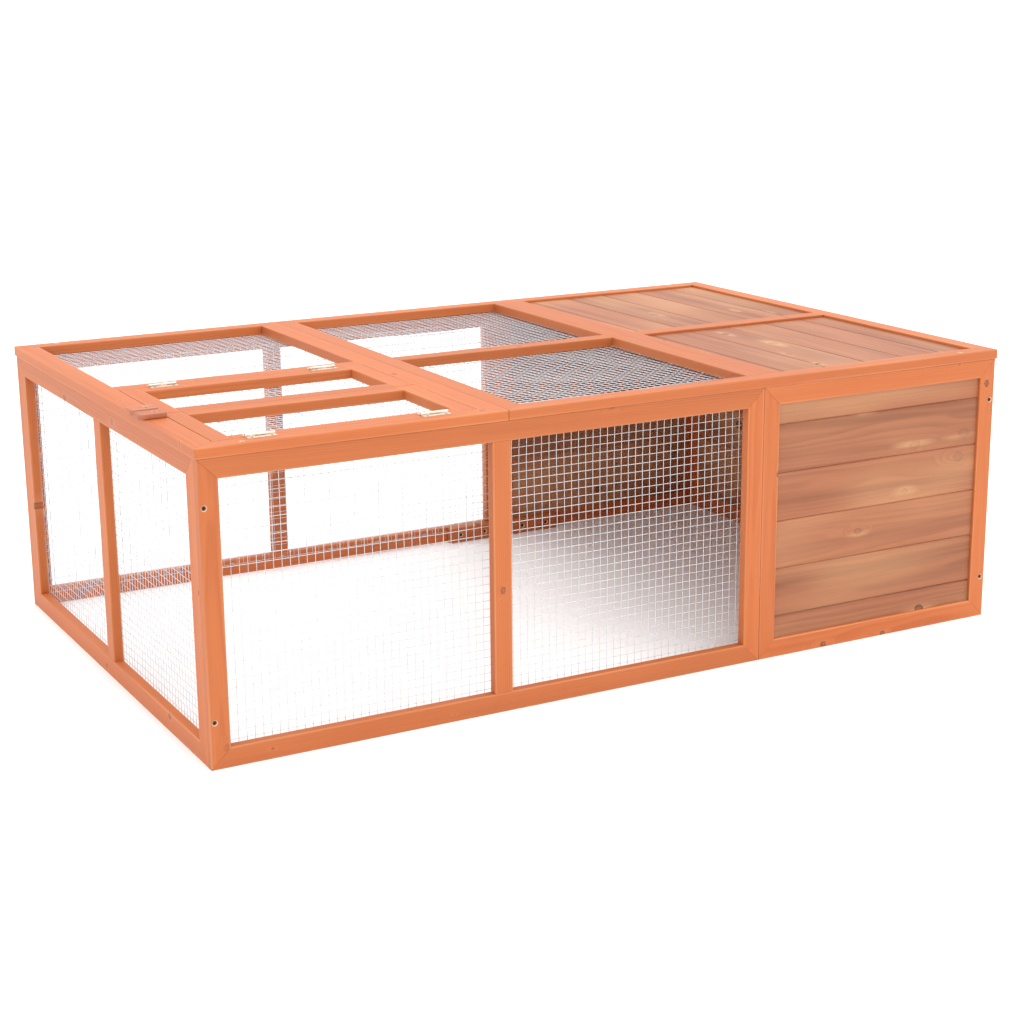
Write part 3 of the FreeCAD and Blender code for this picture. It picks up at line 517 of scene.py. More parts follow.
class Graph:
    """A material's node tree, with short ways to add nodes to it."""

    def __init__(self, name):
        self.material = bpy.data.materials.new(name)
        self.material.use_nodes = True
        self.tree = self.material.node_tree
        self.shader = self.tree.nodes["Principled BSDF"]

    def add(self, kind, inputs=(), **settings):
        """A node of a kind, its settings, and its inputs: a number, a colour or another socket."""
        made = self.tree.nodes.new("ShaderNode" + kind)
        for key, value in settings.items():
            setattr(made, key, value)
        for key, value in dict(inputs).items():
            if isinstance(value, bpy.types.NodeSocket):
                self.tree.links.new(value, made.inputs[key])
            else:
                made.inputs[key].default_value = value
        return made

    def math(self, operation, first, second=0.0):
        """One number from two."""
        return self.add("Math", {0: first, 1: second}, operation=operation).outputs[0]

    def vector(self, operation, first, second):
        """One vector from two."""
        return self.add("VectorMath", {0: first, 1: second}, operation=operation).outputs[0]

    def size(self, vector):
        """The length of a vector."""
        return self.add("VectorMath", {0: vector}, operation="LENGTH").outputs["Value"]

    def noise(self, vector, stretch, detail=2.0, roughness=0.5):
        """Noise of a point after it is stretched along each axis, about 0.5."""
        point = self.vector("MULTIPLY", vector, stretch)
        return self.add("TexNoise", {"Vector": point, "Scale": 1.0, "Detail": detail,
                                     "Roughness": roughness}).outputs[0]

    def ramp(self, value, low, high, to_low=0.0, to_high=1.0):
        """A smooth step of a value from low to high."""
        return self.add("MapRange", {"Value": value, "From Min": low, "From Max": high,
                                     "To Min": to_low, "To Max": to_high},
                        interpolation_type="SMOOTHSTEP").outputs["Result"]

    def mix(self, amount, first, second, blend="MIX"):
        """Two colours mixed by an amount."""
        node = self.add("Mix", data_type="RGBA", blend_type=blend)
        for socket, value in ((node.inputs[0], amount), (node.inputs[6], first),
                              (node.inputs[7], second)):
            if isinstance(value, bpy.types.NodeSocket):
                self.tree.links.new(value, socket)
            elif hasattr(value, "__len__"):
                socket.default_value = tuple(value)[:3] + (1.0,)
            else:
                socket.default_value = value
        return node.outputs[2]

    def set(self, **values):
        """Fixed numbers and sockets on the shader itself. Words are joined by underscores."""
        for key, value in values.items():
            socket = self.shader.inputs[key.replace("_", " ")]
            if isinstance(value, bpy.types.NodeSocket):
                self.tree.links.new(value, socket)
            elif socket.type == "RGBA":
                socket.default_value = tuple(value)[:3] + (1.0,)
            else:
                socket.default_value = value


def painted(name, paint, **inputs):
    """The material of this name, painted the first time that it is asked for."""
    found = bpy.data.materials.get(name)
    if found:
        return found
    graph = Graph(name)
    paint(graph, **inputs)
    return graph.material


LEVEL = 0.74              # brightness of the darkest fibre that a dark member could have
LEVEL_BY_MEMBER = 0.16    # how much brighter another member may be
LEVEL_BY_FIBRE = 0.36     # how much brighter another fibre may be
SMALL_KNOT = 0.5          # smallest knot, and how much larger one may be, in usual knots
KNOT_RANGE = 1.1
KNOT_ALONG = 0.75         # a knot is a third longer along the grain than it is wide
EYE_ALONG = 0.34          # its eye is about three times as long as it is wide
KNOT_ROUGHNESS = 1.1      # full range of its outline's wander, in its radii
RING_BEND = 5.0           # full range of a slow noise that bends the rings, in ring widths
RING_PUSH = 2.6           # furthest that a knot pushes them aside, in ring widths


def knot_marks(graph, place, look):
    """Knots, at most one in each patch of the face, as numbers from 0 to 1: the core, the rim
    round it, the long eye where the grain bends aside, and how dark the knot is.

    A point's distance to the middle of its patch, over the knot's radius, says which it is in.
    Near a distance of one the core ends and the rim lies, both made uneven by noise.
    """
    patch = 1 / look.knot_spacing
    spot = graph.vector("MULTIPLY", place, (patch, patch, 0))
    cell = graph.add("TexVoronoi", {"Vector": spot, "Scale": 1.0, "Randomness": 0.85},
                     voronoi_dimensions="2D", feature="F1")
    lots = graph.add("SeparateColor", {0: cell.outputs["Color"]}).outputs
    chosen = graph.math("GREATER_THAN", lots[0], 1 - look.knots)
    size = graph.math("ADD", graph.math("MULTIPLY", lots[1], KNOT_RANGE), SMALL_KNOT)
    offset = graph.vector("SUBTRACT", spot, cell.outputs["Position"])
    radii = look.knot_spacing / look.knot_radius
    round_off, long_off = [
        graph.math("DIVIDE", graph.size(graph.vector("MULTIPLY", offset, (along * radii, radii, 0))),
                   size)
        for along in (KNOT_ALONG, EYE_ALONG)]
    uneven = graph.math("SUBTRACT", graph.noise(place, (260, 260, 0), 1.0), 0.5)
    round_off = graph.math("ADD", round_off, graph.math("MULTIPLY", uneven, KNOT_ROUGHNESS))
    off_rim = graph.math("ABSOLUTE", graph.math("SUBTRACT", round_off, 0.95))
    core, rim, eye = [graph.math("MULTIPLY", graph.ramp(off, near, far, 1, 0), chosen)
                      for off, near, far in ((round_off, 0.75, 1.15), (off_rim, 0.05, 0.32),
                                             (long_off, 0.3, 2.8))]
    return core, rim, eye, graph.ramp(lots[2], 0, 1, 0.15, 0.85)


def late_wood(graph, grain, look, eye):
    """Late wood from 0 to 1: it grows across each ring, ends at once, and is faint in places.

    A ring is the distance to the pith over the ring width, bent by a slow noise and pushed
    aside by the eyes of knots.
    """
    slow = graph.math("SUBTRACT", graph.noise(grain, (2.2, 16, 16)), 0.5)
    bend = graph.math("MULTIPLY", slow, RING_BEND * look.ring)
    pushed = graph.math("MULTIPLY", eye, RING_PUSH * look.ring)
    radius = graph.size(graph.vector("MULTIPLY", grain, (0, 1, 1)))
    rings = graph.math("MULTIPLY", graph.math("ADD", graph.math("ADD", radius, bend), pushed),
                       1 / look.ring)
    ring = graph.math("FRACT", rings)
    late = graph.math("MULTIPLY", graph.ramp(ring, 0.15, 0.85), graph.ramp(ring, 0.86, 1.0, 1, 0))
    faint = graph.ramp(graph.noise(grain, (1.1, 34, 34), 1.0), 0.34, 0.66, 0.25, 1)
    return graph.math("MULTIPLY", late, faint)


def wood(graph, look, contrast, streaks, gloss):
    """Solid softwood under a thin stain.

    The colour runs from early to late wood by the growth rings. Streaks and fibres are noise
    drawn out along the grain, knots are dark discs with a darker rim and pale wood beside them,
    and worn edges take the pale colour.
    """
    grain = graph.add("Attribute", attribute_name="grain").outputs["Vector"]
    place = graph.add("Attribute", attribute_name="place").outputs["Vector"]
    edge = graph.add("Attribute", attribute_name="edge").outputs["Fac"]
    shade = graph.add("Attribute", attribute_name="shade").outputs["Fac"]
    core, rim, eye, dark = knot_marks(graph, place, look)
    late = late_wood(graph, grain, look, eye)
    fibre = graph.noise(grain, (10, 900, 900), 3.0, 0.6)
    streak = graph.noise(grain, (1.3, 42, 42), 3.0, 0.55)
    cloud = graph.noise(grain, (3.0, 9, 9), 1.0)
    halo = graph.math("MULTIPLY", eye, graph.ramp(streak, 0.42, 0.62))
    worn = graph.math("MULTIPLY", edge, graph.ramp(cloud, 0.3, 0.7, 0.15, 0.55))

    tint = graph.mix(graph.math("MULTIPLY", late, contrast), look.early, look.late)
    tint = graph.mix(graph.ramp(streak, 0.42, 0.72, 0, streaks), tint, look.late)
    tint = graph.mix(graph.ramp(cloud, 0.5, 0.8, 0, 0.35 * streaks), tint, look.pale)
    tint = graph.mix(graph.math("MULTIPLY", halo, streaks), tint, look.pale)
    tint = graph.mix(worn, tint, look.pale)
    level = graph.math("ADD", graph.math("MULTIPLY", shade, LEVEL_BY_MEMBER),
                       graph.math("MULTIPLY", fibre, LEVEL_BY_FIBRE))
    level = graph.math("ADD", level, LEVEL)
    grey = graph.add("CombineColor", {0: level, 1: level, 2: level}).outputs[0]
    tint = graph.mix(1.0, tint, grey, "MULTIPLY")
    tint = graph.mix(graph.math("MULTIPLY", core, graph.math("MULTIPLY", dark, 0.7)), tint, look.knot)
    tint = graph.mix(graph.math("MULTIPLY", rim, dark), tint, look.knot)

    height = graph.math("ADD", graph.math("MULTIPLY", late, 0.5),
                        graph.math("MULTIPLY", fibre, 0.8))
    height = graph.math("SUBTRACT", height, graph.math("MULTIPLY", core, 0.7))
    bump = graph.add("Bump", {"Height": height, "Strength": 0.35, "Distance": 0.0004})
    graph.set(Base_Color=tint, Normal=bump.outputs[0], Specular_IOR_Level=gloss,
              Roughness=graph.ramp(fibre, 0.2, 0.8, 0.44, 0.66))


def cut_wood(graph, look):
    """Bare wood with fine fibres."""
    point = graph.add("TexCoord").outputs["Object"]
    fibre = graph.noise(point, (900, 900, 900), 2.0)
    tint = graph.mix(graph.ramp(fibre, 0.3, 0.7), look.raw, look.pale)
    graph.set(Base_Color=tint, Roughness=graph.ramp(fibre, 0.2, 0.8, 0.7, 0.85))


def plating(graph, tint, spots, smooth, rough, darker):
    """Plated steel: blotches of two tones of one colour, rougher where they are darker."""
    point = graph.add("TexCoord").outputs["Object"]
    blotch = graph.noise(point, (spots, spots, spots), 3.0, 0.65)
    dull = [channel * darker for channel in tint]
    bump = graph.add("Bump", {"Height": blotch, "Strength": 0.2, "Distance": 0.0002})
    graph.set(Base_Color=graph.mix(graph.ramp(blotch, 0.35, 0.7), tint, dull), Metallic=0.9,
              Roughness=graph.ramp(blotch, 0.3, 0.7, smooth, rough), Normal=bump.outputs[0])


def frame_wood():
    """Orange-stained fir of the frames."""
    return painted("stained_frame_timber", wood, look=bpy.context.scene.hutch_timber,
                   contrast=0.42, streaks=0.22, gloss=0.42)


def board_wood():
    """Browner boards with strong grain."""
    return painted("shelter_boards", wood, look=bpy.context.scene.hutch_boards,
                   contrast=0.48, streaks=0.80, gloss=0.36)


def button_wood():
    """Pinker wood of the turn buttons."""
    return painted("turn_button_wood", wood, look=bpy.context.scene.hutch_buttons,
                   contrast=0.55, streaks=0.40, gloss=0.42)


def raw_wood():
    """Pale cut wood inside the screw holes."""
    return painted("raw_cut_wood", cut_wood, look=bpy.context.scene.hutch_timber)


def zinc_wire():
    """Hot-dip galvanised wire."""
    return painted("galvanised_wire", plating, tint=bpy.context.scene.hutch_mesh.zinc,
                   spots=420, smooth=0.34, rough=0.56, darker=0.84)


def hinge_plate_painted_reflection():
    """Zinc plating of the hinges, with a warm tint that is painted reflection of the orange wood round
    them.
    """
    return painted("plated_hinge_painted_reflection", plating, tint=bpy.context.scene.hutch_fittings.plate,
                   spots=260, smooth=0.3, rough=0.5, darker=0.72)


def screw_steel_painted_shade():
    """Plating of the screws, made near black to paint the shade of the sunk holes onto every head."""
    return painted("plated_screw_painted_shade", plating, tint=bpy.context.scene.hutch_fittings.screw,
                   spots=700, smooth=0.35, rough=0.6, darker=0.72)


# ------------------------------------------------------------------ timber pieces

WALLS = (("front_run", Y), ("back_run", Y), ("front_house", Y), ("back_house", Y),
         ("left_end", X), ("right_end", X))
ROOF_TIMBER = ("door_bay_front_rail", "door_bay_back_rail", "door_bay_side_rails", "hinge_rail",
               "roof_panel_front_rail", "roof_panel_back_rail", "roof_panel_side_rails",
               "roof_panel_wide_rail", "roof_panel_mid_rails", "leaf_stops")
LEAF_TIMBER = ("front_leaf_stiles", "front_leaf_rails", "rear_leaf_stiles", "rear_leaf_rails")


def plain_timber(context, name, through, holes=()):
    """Every member of a CAD node as eased and stained timber."""
    look = context.scene.hutch_timber
    members = [Member(points, through) for points in solids(name)]
    sections = [eased_rectangle(one.width, one.depth, look.arris) for one in members]
    return timber_piece(name, members, sections, [frame_wood(), raw_wood()],
                        look.arris, look.end_arris, holes)


class HUTCH_OT_wall_frames(bpy.types.Operator):
    """Build the rails and stiles of the six wall panels, and the batten across the back seam"""

    bl_idname = "hutch.wall_frames"
    bl_label = "Wall Frames"

    def execute(self, context):
        fittings = context.scene.hutch_fittings
        holes = hole_cutters(("front_corner_screws", "back_corner_screws"), fittings)
        for wall, through in WALLS:
            for part in ("_bottom_rail", "_top_rail"):
                plain_timber(context, wall + part, through)
            plain_timber(context, wall + "_stiles", through, holes if through == Y else ())
        plain_timber(context, "back_splice_batten", Y, hole_cutters(("splice_screws",), fittings))
        return {"FINISHED"}


class HUTCH_OT_roof_frames(bpy.types.Operator):
    """Build the rails of the roof and the battens under the leaves"""

    bl_idname = "hutch.roof_frames"
    bl_label = "Roof Frames"

    def execute(self, context):
        holes = hole_cutters(("roof_screws",), context.scene.hutch_fittings)
        for name in ROOF_TIMBER:
            plain_timber(context, name, Z, holes if name.endswith(("front_rail", "back_rail")) else ())
        return {"FINISHED"}


class HUTCH_OT_leaves(bpy.types.Operator):
    """Build the stiles and rails of the two lift-up leaves"""

    bl_idname = "hutch.leaves"
    bl_label = "Leaves"

    def execute(self, context):
        for name in LEAF_TIMBER:
            plain_timber(context, name, Z)
        return {"FINISHED"}


# ------------------------------------------------------------------ boards

WALL_BAYS = (("front_house_boards", X, Y, -1), ("back_house_boards", X, Y, 1),
             ("right_end_boards", Y, X, 1))


class Board(Member):
    """A board between two places across a bay, its weather face outwards."""

    def __init__(self, low, high, along, through, start, end, out):
        self.low, self.high = low.copy(), high.copy()
        self.along, self.through = along, through
        self.across = 3 - along - through
        self.low[self.across], self.high[self.across] = start, end
        self.width = end - start
        self.depth = high[through] - low[through]
        self.out = out
        self.ends = [(low[along], high[along])] * 2


def board_section(board, look, first, last):
    """A board's section, anticlockwise with its weather face at depth 0: a bevel on each inner
    long edge, a tongue on the far edge and a groove in the near one."""
    width, depth = board.width, board.depth
    near_bevel = 0 if first else look.bevel
    far_bevel = 0 if last else look.bevel
    outline = [(near_bevel, 0), (width - far_bevel, 0)]
    if not last:
        outline += [(width, look.bevel), (width, look.tongue_near),
                    (width + look.tongue, look.tongue_near), (width + look.tongue, look.tongue_far),
                    (width, look.tongue_far)]
    outline += [(width, depth), (0, depth)]
    if not first:
        low, high = look.tongue_near - look.play, look.tongue_far + look.play
        deep = look.tongue + look.play
        outline += [(0, high), (deep, high), (deep, low), (0, low), (0, look.bevel)]
    section = np.array(outline)
    if board.out > 0:
        section[:, 1] = depth - section[:, 1]
        section = section[::-1]
    return section


def bay_of_boards(look, low, high, along, through, out, first_width):
    """The boards that fill a bay: one ripped down, full ones, and a ripped last one."""
    across = 3 - along - through
    span = high[across] - low[across]
    count = int(math.ceil((span - first_width - look.least) / look.cover))
    edges = np.concatenate([[0], first_width + look.cover * np.arange(count), [span]])
    boards, sections = [], []
    for number in range(count + 1):
        start, end = low[across] + edges[number:number + 2]
        board = Board(low, high, along, through, start, end, out)
        boards.append(board)
        sections.append(board_section(board, look, number == 0, number == count))
    return boards, sections


class HUTCH_OT_boards(bpy.types.Operator):
    """Build the tongue-and-groove boards of the shelter's walls and roof"""

    bl_idname = "hutch.boards"
    bl_label = "Boards"

    def execute(self, context):
        look = context.scene.hutch_boards
        for name, along, through, out in WALL_BAYS:
            low, high = box(name)
            made = bay_of_boards(look, low, high, along, through, out, look.first_wall)
            self.put(name, look, *made)
        low, high = box("roof_boards")
        rail_low, rail_high = box("roof_panel_mid_rails")
        boards, sections = [], []
        for start, end in ((low[Y], rail_low[Y]), (rail_high[Y], high[Y])):
            bay_low = np.array([low[X], start, low[Z]])
            bay_high = np.array([high[X], end, high[Z]])
            made = bay_of_boards(look, bay_low, bay_high, Y, Z, 1, look.first_roof)
            boards += made[0]
            sections += made[1]
        self.put("roof_boards", look, boards, sections)
        return {"FINISHED"}

    def put(self, name, look, boards, sections):
        """Make one piece of the boards of a CAD node."""
        timber_piece(name, boards, sections, [board_wood()], look.bevel / 2,
                     look.end_arris, suffix="_planed")


# ------------------------------------------------------------------ wire mesh

SHEETS = (("front_run_mesh", Y, 1), ("back_run_mesh", Y, -1), ("left_end_mesh", X, 1),
          ("door_bay_mesh", Z, -1), ("roof_panel_mesh", Z, -1), ("front_leaf_mesh", Z, -1),
          ("rear_leaf_mesh", Z, -1))
WAVES = 4                 # waves added up for each direction that a sheet moves in
SLOW_WAVE = 6             # least and most turn of a wave, in radians a metre
QUICK_WAVE = 22
FADE = 3                  # how soon a sheet moves freely, away from its edges

STAPLE_TOP = 2.5          # crown above the wood, in wires
STAPLE_INSET = 4          # sheet's edge to the staple, in wires
STAPLE_HALF = 0.45        # half the staple's own thickness, in wires
STAPLE_BEND = 0.8         # size of its bends, in wires


def sheet_field(low, high, axes, look, random):
    """How far each place of a sheet has moved: a sum of slow sine waves in the sheet's plane and
    off it, fading to nothing at the edges as the sine of the share across times that along."""
    size = np.array([high[axis] - low[axis] for axis in axes])
    shape = (3, WAVES, 2)
    waves = random.uniform(SLOW_WAVE, QUICK_WAVE, shape) * random.choice([-1, 1], shape)
    phases = random.uniform(0, 2 * math.pi, shape[:2])
    reach = np.array([look.sway, look.sway, look.slack]) / WAVES

    def field(u, v):
        """The two moves in the plane and the one off it, at places given as two grids."""
        window = np.sin(math.pi * (u - low[axes[0]]) / size[0])
        window = window * np.sin(math.pi * (v - low[axes[1]]) / size[1])
        window = np.clip(FADE * window, 0, 1)
        angle = waves[:, :, 0, None, None] * u + waves[:, :, 1, None, None] * v
        moves = np.sin(angle + phases[:, :, None, None]).sum(axis=1)
        return reach[:, None, None] * moves * window

    return field


def wires(low, high, axes, through, sense, look, field, running):
    """Round wires side by side. Each follows its straight line plus the sheet's field, and its
    section is a circle, given as a cosine and a sine in the two directions off the wire."""
    run, cross = (axes if running == 0 else axes[::-1])
    places = []
    for axis in (run, cross):
        span = high[axis] - low[axis]
        count = int((span - look.wire) // look.cell)
        margin = (span - count * look.cell) / 2
        places.append(low[axis] + margin + look.cell * np.arange(count + 1))
    along = np.concatenate([[low[run]], places[0], [high[run]]])
    along_grid, cross_grid = np.meshgrid(along, places[1])
    first, second = (along_grid, cross_grid) if running == 0 else (cross_grid, along_grid)
    moves = field(first, second)
    face = low[through] if sense > 0 else high[through]
    layer = look.wire / 2 + running * (look.wire - look.press)
    centre = np.empty(along_grid.shape + (3,))
    centre[..., axes[0]] = first + moves[0]
    centre[..., axes[1]] = second + moves[1]
    centre[..., through] = face + sense * (layer + np.abs(moves[2]))
    angle = np.linspace(0, 2 * math.pi, look.sides, endpoint=False)
    section = np.zeros((look.sides, 3))
    section[:, cross] = np.cos(angle) * look.wire / 2
    section[:, through] = np.sin(angle) * look.wire / 2
    points = centre[:, :, None, :] + section
    faces = strip_faces(len(along), look.sides)
    if (run + 1) % 3 != cross:
        faces = [wire[::-1] for wire in faces]
    wire_points = len(along) * look.sides
    every = [[corner + number * wire_points for corner in wire]
             for number in range(len(places[1])) for wire in faces]
    return points.reshape(-1, 3), every


def staples(low, high, axes, through, sense, look):
    """Flat-topped wire staples over the sheet's edge: a square section carried up a leg, over the
    crown and down the other leg, leaning into each bend."""
    made = []
    face = low[through] if sense > 0 else high[through]
    top = face + sense * (STAPLE_TOP * look.wire)
    foot = face - sense * look.leg
    half = look.crown / 2
    inset = look.wire * STAPLE_INSET
    bend = look.wire * STAPLE_BEND
    corner = np.array([[-1, -1], [1, -1], [1, 1], [-1, 1]]) * look.wire * STAPLE_HALF
    run_steps = np.array([-half, -half, -half + bend, half - bend, half, half])[:, None]
    rise = np.array([foot, top - sense * bend, top, top, top - sense * bend, foot])[:, None]
    lean = np.array([1, 0.7, 0.2, -0.2, -0.7, -1])[:, None]
    upright = np.array([0, 0.7, 1, 1, 0.7, 0])[:, None]
    faces = strip_faces(len(rise), len(corner))
    turned = [face[::-1] for face in faces]
    for run, cross in (axes, axes[::-1]):
        span = high[run] - low[run]
        count = max(2, int(span / look.staple_spacing))
        middles = low[run] + span * (np.arange(count) + 0.5) / count
        for side in (low[cross] + inset, high[cross] - inset):
            for middle in middles:
                points = np.empty((len(rise), len(corner), 3))
                points[..., cross] = side + corner[:, 0]
                points[..., run] = middle + run_steps + lean * corner[:, 1]
                points[..., through] = rise + sense * upright * corner[:, 1]
                flip = ((cross + 1) % 3 == run) == (sense > 0)
                made.append((points.reshape(-1, 3), turned if flip else faces))
    return joined(made)


class HUTCH_OT_wire_mesh(bpy.types.Operator):
    """Build the welded mesh sheets and the staples that hold them"""

    bl_idname = "hutch.wire_mesh"
    bl_label = "Wire Mesh"

    def execute(self, context):
        look = context.scene.hutch_mesh
        for name, through, sense in SHEETS:
            low, high = box(name)
            axes = ((through + 1) % 3, (through + 2) % 3)
            field = sheet_field(low, high, axes, look, seeded(name))
            made = joined([wires(low, high, axes, through, sense, look, field, running)
                           for running in (0, 1)])
            mesh = fill_mesh(name + "_wires", *made)
            add_piece(name + "_wires", mesh, [zinc_wire()], body_of(name), [name], 75)
            mesh = fill_mesh(name + "_staples", *staples(low, high, axes, through, sense, look))
            add_piece(name + "_staples", mesh, [zinc_wire()], body_of(name))
        return {"FINISHED"}


# ------------------------------------------------------------------ fittings

AROUND_SCREW = 24
HEAD_ROWS = 9
SHANK_ROWS = 26
HEAD_IN_HOLE = 0.96       # a long screw's head, in radii of its hole's throat
ARM_WIDTH = 0.2           # half an arm of the cross, and the slope of its wall, in head radii
ARM_WALL = 0.08
ARM_END = 0.66            # middle to an arm's end, and the slope there, in head radii
ARM_SLOPE = 0.1
CROSS_DEPTH = 0.5         # in head radii
RIM_TOP = 0.05            # upper and lower edge of the head's rim, in head radii
RIM_BOTTOM = 0.12
PITCH = 1.6               # thread to thread, in shank radii
ROOT = 0.74               # radius between threads, in shank radii
POINT = 0.16              # share of the shank that narrows to the point


def screw_surface(place, axis, sense, long, head_radius, shank_radius, sink):
    """A countersunk screw turned about its axis. The head's face sinks in a cross: a point lies
    deep where it is near one arm's line and not past the arm's end. The shank's radius swells
    once a turn, which makes the thread, and shrinks to a point at the tip."""
    angle = np.linspace(0, 2 * math.pi, AROUND_SCREW, endpoint=False)
    shares = np.linspace(0.02, 0.94, HEAD_ROWS)[:, None]
    side, up = abs(shares * np.cos(angle)), abs(shares * np.sin(angle))
    arm = np.maximum(*[np.clip((ARM_WIDTH - off) / ARM_WALL, 0, 1)
                       * np.clip((ARM_END - out) / ARM_SLOPE, 0, 1)
                       for off, out in ((side, up), (up, side))])
    face_radii = np.broadcast_to(shares * head_radius, arm.shape)
    face_depths = sink + arm * head_radius * CROSS_DEPTH
    start = sink + RIM_BOTTOM * head_radius + (head_radius - shank_radius)
    rim = [(head_radius, sink + RIM_TOP * head_radius),
           (head_radius, sink + RIM_BOTTOM * head_radius), (shank_radius, start)]
    reach = np.linspace(0, 1, SHANK_ROWS)[1:, None]
    run = start + (long - start) * reach
    ridge = (0.5 + 0.5 * np.cos(2 * math.pi * run / (PITCH * shank_radius) - angle)) ** 3
    taper = np.clip((1 - reach) / POINT, 0.02, 1)
    shank_radii = shank_radius * (ROOT + (1 - ROOT) * ridge) * taper
    radii = np.concatenate([face_radii, [[r] * AROUND_SCREW for r, _ in rim], shank_radii])
    depths = np.concatenate([face_depths, [[d] * AROUND_SCREW for _, d in rim],
                             np.broadcast_to(run, shank_radii.shape)])
    points = turned_surface(radii, depths, AROUND_SCREW, place, axis, sense)
    return points, strip_faces(len(radii), AROUND_SCREW)


class HUTCH_OT_screws(bpy.types.Operator):
    """Build the corner, roof, splice, button and hinge screws"""

    bl_idname = "hutch.screws"
    bl_label = "Screws"

    def execute(self, context):
        fittings = context.scene.hutch_fittings
        head = fittings.throat * HEAD_IN_HOLE
        sunk = ("front_corner_screws", "back_corner_screws", "roof_screws", "splice_screws")
        small = ("fixed_hinge_screws", "front_leaf_hinge_screws", "rear_leaf_hinge_screws")
        for names, head, shank, sink in (
                (sunk, head, fittings.shank, fittings.sink),
                (("button_screws",), head, fittings.shank, fittings.button_sink),
                (small, fittings.small_head, fittings.small_shank, 0.0)):
            for name in names:
                made = joined([screw_surface(*place, head, shank, sink)
                               for place in screw_places(name)])
                mesh = fill_mesh(name + "_turned", *made)
                add_piece(name + "_turned", mesh, [screw_steel_painted_shade()], body_of(name),
                          [name])
        return {"FINISHED"}


class HUTCH_OT_hinges(bpy.types.Operator):
    """Give the hinge plates and pins their plating"""

    bl_idname = "hutch.hinges"
    bl_label = "Hinges"

    def execute(self, context):
        for name in ("front_hinge_fixed_plates", "rear_hinge_fixed_plates",
                     "front_hinge_leaf_plates", "rear_hinge_leaf_plates", "hinge_pins"):
            plate = frame["nodes"][name]
            plate.data.materials.clear()
            # the plating carries a warm tint of painted reflection of the orange wood
            plate.data.materials.append(hinge_plate_painted_reflection())
        return {"FINISHED"}


def button_surface(low, high, corner, arris):
    """A small bar with rounded corners in plan and eased faces: its outline, drawn in by the
    sine of a quarter turn at each face, carried from the underside to the top."""
    outline = eased_rectangle(high[X] - low[X], high[Y] - low[Y], corner)
    middle = np.ptp(outline, axis=0) / 2
    inset = arris * (1 - np.cos(QUARTER[::-1]))
    rise = arris * (1 - np.sin(QUARTER[::-1]))
    insets = np.concatenate([inset, inset[::-1]])
    heights = np.concatenate([low[Z] + rise, (high[Z] - rise)[::-1]])
    rows = []
    for drawn, height in zip(insets, heights):
        scale = 1 - drawn / middle
        flat = low[:2] + middle + (outline - middle) * scale
        rows.append(np.column_stack([flat, np.full(len(flat), height)]))
    return np.concatenate(rows), strip_faces(len(rows), len(outline))


class HUTCH_OT_turn_buttons(bpy.types.Operator):
    """Build the two wooden turn buttons"""

    bl_idname = "hutch.turn_buttons"
    bl_label = "Turn Buttons"

    def execute(self, context):
        fittings = context.scene.hutch_fittings
        cutters = hole_cutters(("button_screws",), fittings)
        for name in ("front_turn_button", "rear_turn_button"):
            low, high = box(name)
            points, faces = button_surface(low, high, fittings.button_corner,
                                           fittings.button_arris)
            points, faces, finishes = bored(points, faces, holes_in(low, high, cutters))
            member = Member(np.array([low, high, [low[X], high[Y], low[Z]],
                                      [high[X], low[Y], low[Z]]]), Z)
            mesh = fill_mesh(name + "_shaped", points, faces, finishes)
            write_marks(mesh, member.marks(points, seeded(name), fittings.button_arris))
            add_piece(name + "_shaped", mesh, [button_wood(), raw_wood()], body_of(name),
                      [name])
        return {"FINISHED"}


# ------------------------------------------------------------------ stage

FLOOR_RADII = (0.01, 1.0, 3.0, 14.0)
AROUND_FLOOR = 64
KEY_PLACE = (1.0, -0.8, 4.0)


def floor_mesh():
    """A flat disc: circles about the origin, each at a height of nought."""
    points = turned_surface(FLOOR_RADII, np.zeros(len(FLOOR_RADII)), AROUND_FLOOR, np.zeros(3), Z, 1)
    faces = strip_faces(len(FLOOR_RADII), AROUND_FLOOR, False)
    faces.append(list(range(AROUND_FLOOR))[::-1])
    return fill_mesh("studio_floor", points, [face[::-1] for face in faces])


def aim_at_origin(lamp, place):
    """Stand a lamp at a place and turn it to the origin."""
    lamp.location = place
    lamp.rotation_euler = (math.atan2(math.hypot(place[X], place[Y]), place[Z]), 0,
                           math.atan2(place[X], -place[Y]))


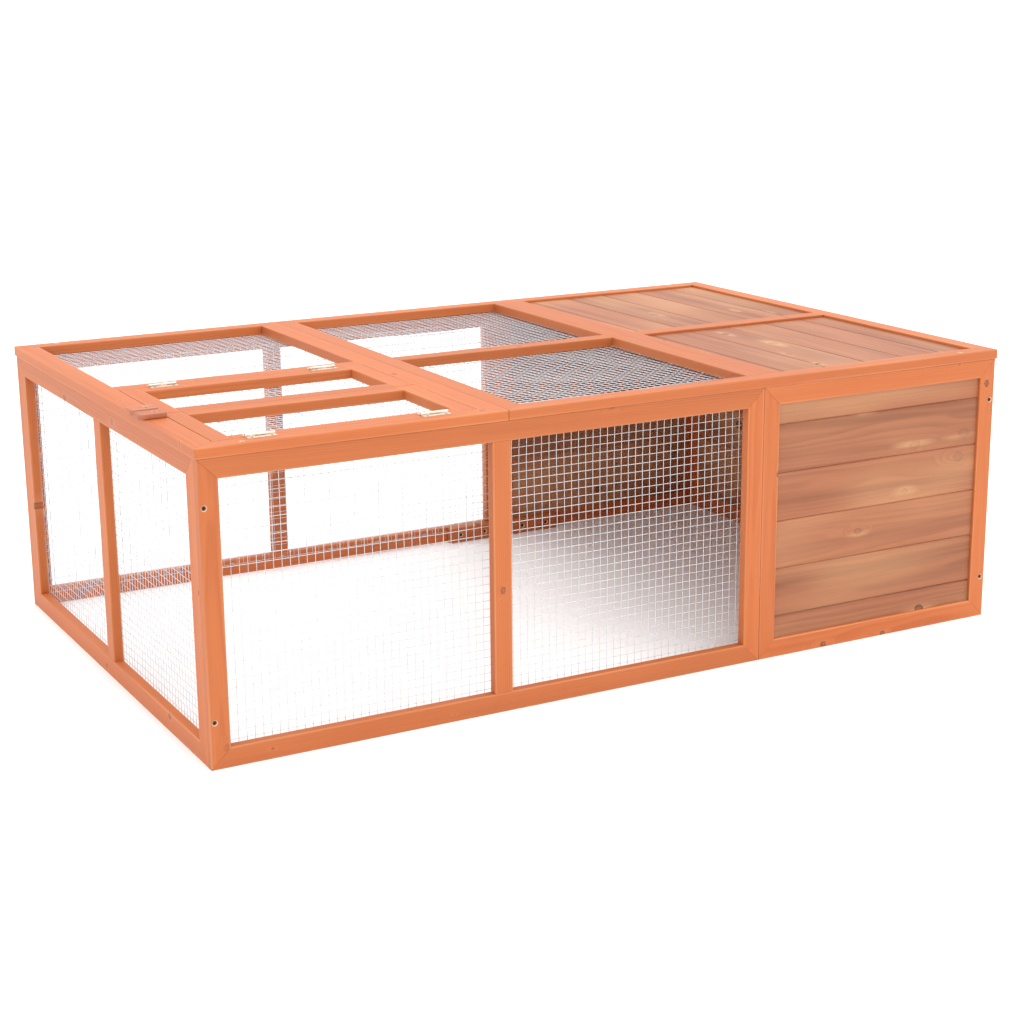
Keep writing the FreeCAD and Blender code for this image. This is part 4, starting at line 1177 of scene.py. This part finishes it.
class HUTCH_OT_stage(bpy.types.Operator):
    """Set up the floor, the light and the camera"""

    bl_idname = "hutch.stage"
    bl_label = "Stage"

    def execute(self, context):
        scene = context.scene
        look = scene.hutch_stage
        graph = Graph("studio_floor")
        graph.set(Base_Color=look.floor, Roughness=0.9, Specular_IOR_Level=0.1)
        mesh = floor_mesh()
        mesh.materials.append(graph.material)
        mesh.polygons.foreach_set("use_smooth", [True] * len(mesh.polygons))
        floor = bpy.data.objects.new("studio_floor", mesh)
        scene.collection.objects.link(floor)

        world = bpy.data.worlds.new("studio")
        world.use_nodes = True
        sky = world.node_tree.nodes["Background"]
        sky.inputs["Color"].default_value = (1.0, 1.0, 1.0, 1.0)
        sky.inputs["Strength"].default_value = look.sky
        scene.world = world
        scene.view_settings.view_transform = "Standard"

        key = bpy.data.lights.new("overhead_light", "SUN")
        key.energy = look.key
        key.angle = look.spread
        lamp = bpy.data.objects.new("overhead_light", key)
        scene.collection.objects.link(lamp)
        aim_at_origin(lamp, KEY_PLACE)

        data = bpy.data.cameras.new("camera")
        data.sensor_width = 36.0
        data.lens = look.lens
        camera = bpy.data.objects.new("camera", data)
        scene.collection.objects.link(camera)
        camera.location = look.camera_place
        camera.rotation_euler = look.camera_turn
        scene.camera = camera
        return {"FINISHED"}


# ------------------------------------------------------------------ panel and registration

STEPS = (HUTCH_OT_wall_frames, HUTCH_OT_roof_frames, HUTCH_OT_leaves, HUTCH_OT_boards,
         HUTCH_OT_wire_mesh, HUTCH_OT_hinges, HUTCH_OT_screws, HUTCH_OT_turn_buttons,
         HUTCH_OT_stage)
SETTINGS = (("hutch_timber", HutchTimber), ("hutch_buttons", HutchButtons),
            ("hutch_boards", HutchBoards), ("hutch_mesh", HutchMesh),
            ("hutch_fittings", HutchFittings), ("hutch_stage", HutchStage))


class HUTCH_PT_builder(bpy.types.Panel):
    """The hutch's pieces, and the sizes and colours that can be changed"""

    bl_idname = "HUTCH_PT_builder"
    bl_label = "Rabbit Hutch"
    bl_space_type = "VIEW_3D"
    bl_region_type = "UI"
    bl_category = "Hutch"

    def draw(self, context):
        for step in STEPS:
            self.layout.operator(step.bl_idname)
        for name, group in SETTINGS:
            settings = self.layout.box()
            settings.label(text=group.__doc__)
            for field in group.__annotations__:
                settings.prop(getattr(context.scene, name), field)


CLASSES = tuple(group for _, group in SETTINGS) + STEPS + (HUTCH_PT_builder,)


def register():
    """Make the operators, the panel and the settings known to Blender."""
    for one in CLASSES:
        bpy.utils.register_class(one)
    for name, group in SETTINGS:
        setattr(bpy.types.Scene, name, PointerProperty(type=group))


def unregister():
    """Take back what register made known."""
    for name, _ in SETTINGS:
        delattr(bpy.types.Scene, name)
    for one in reversed(CLASSES):
        bpy.utils.unregister_class(one)


def main():
    """Build every piece."""
    register()
    for step in STEPS:
        area, name = step.bl_idname.split(".")
        getattr(getattr(bpy.ops, area), name)()


if __name__ == "__main__":
    main()
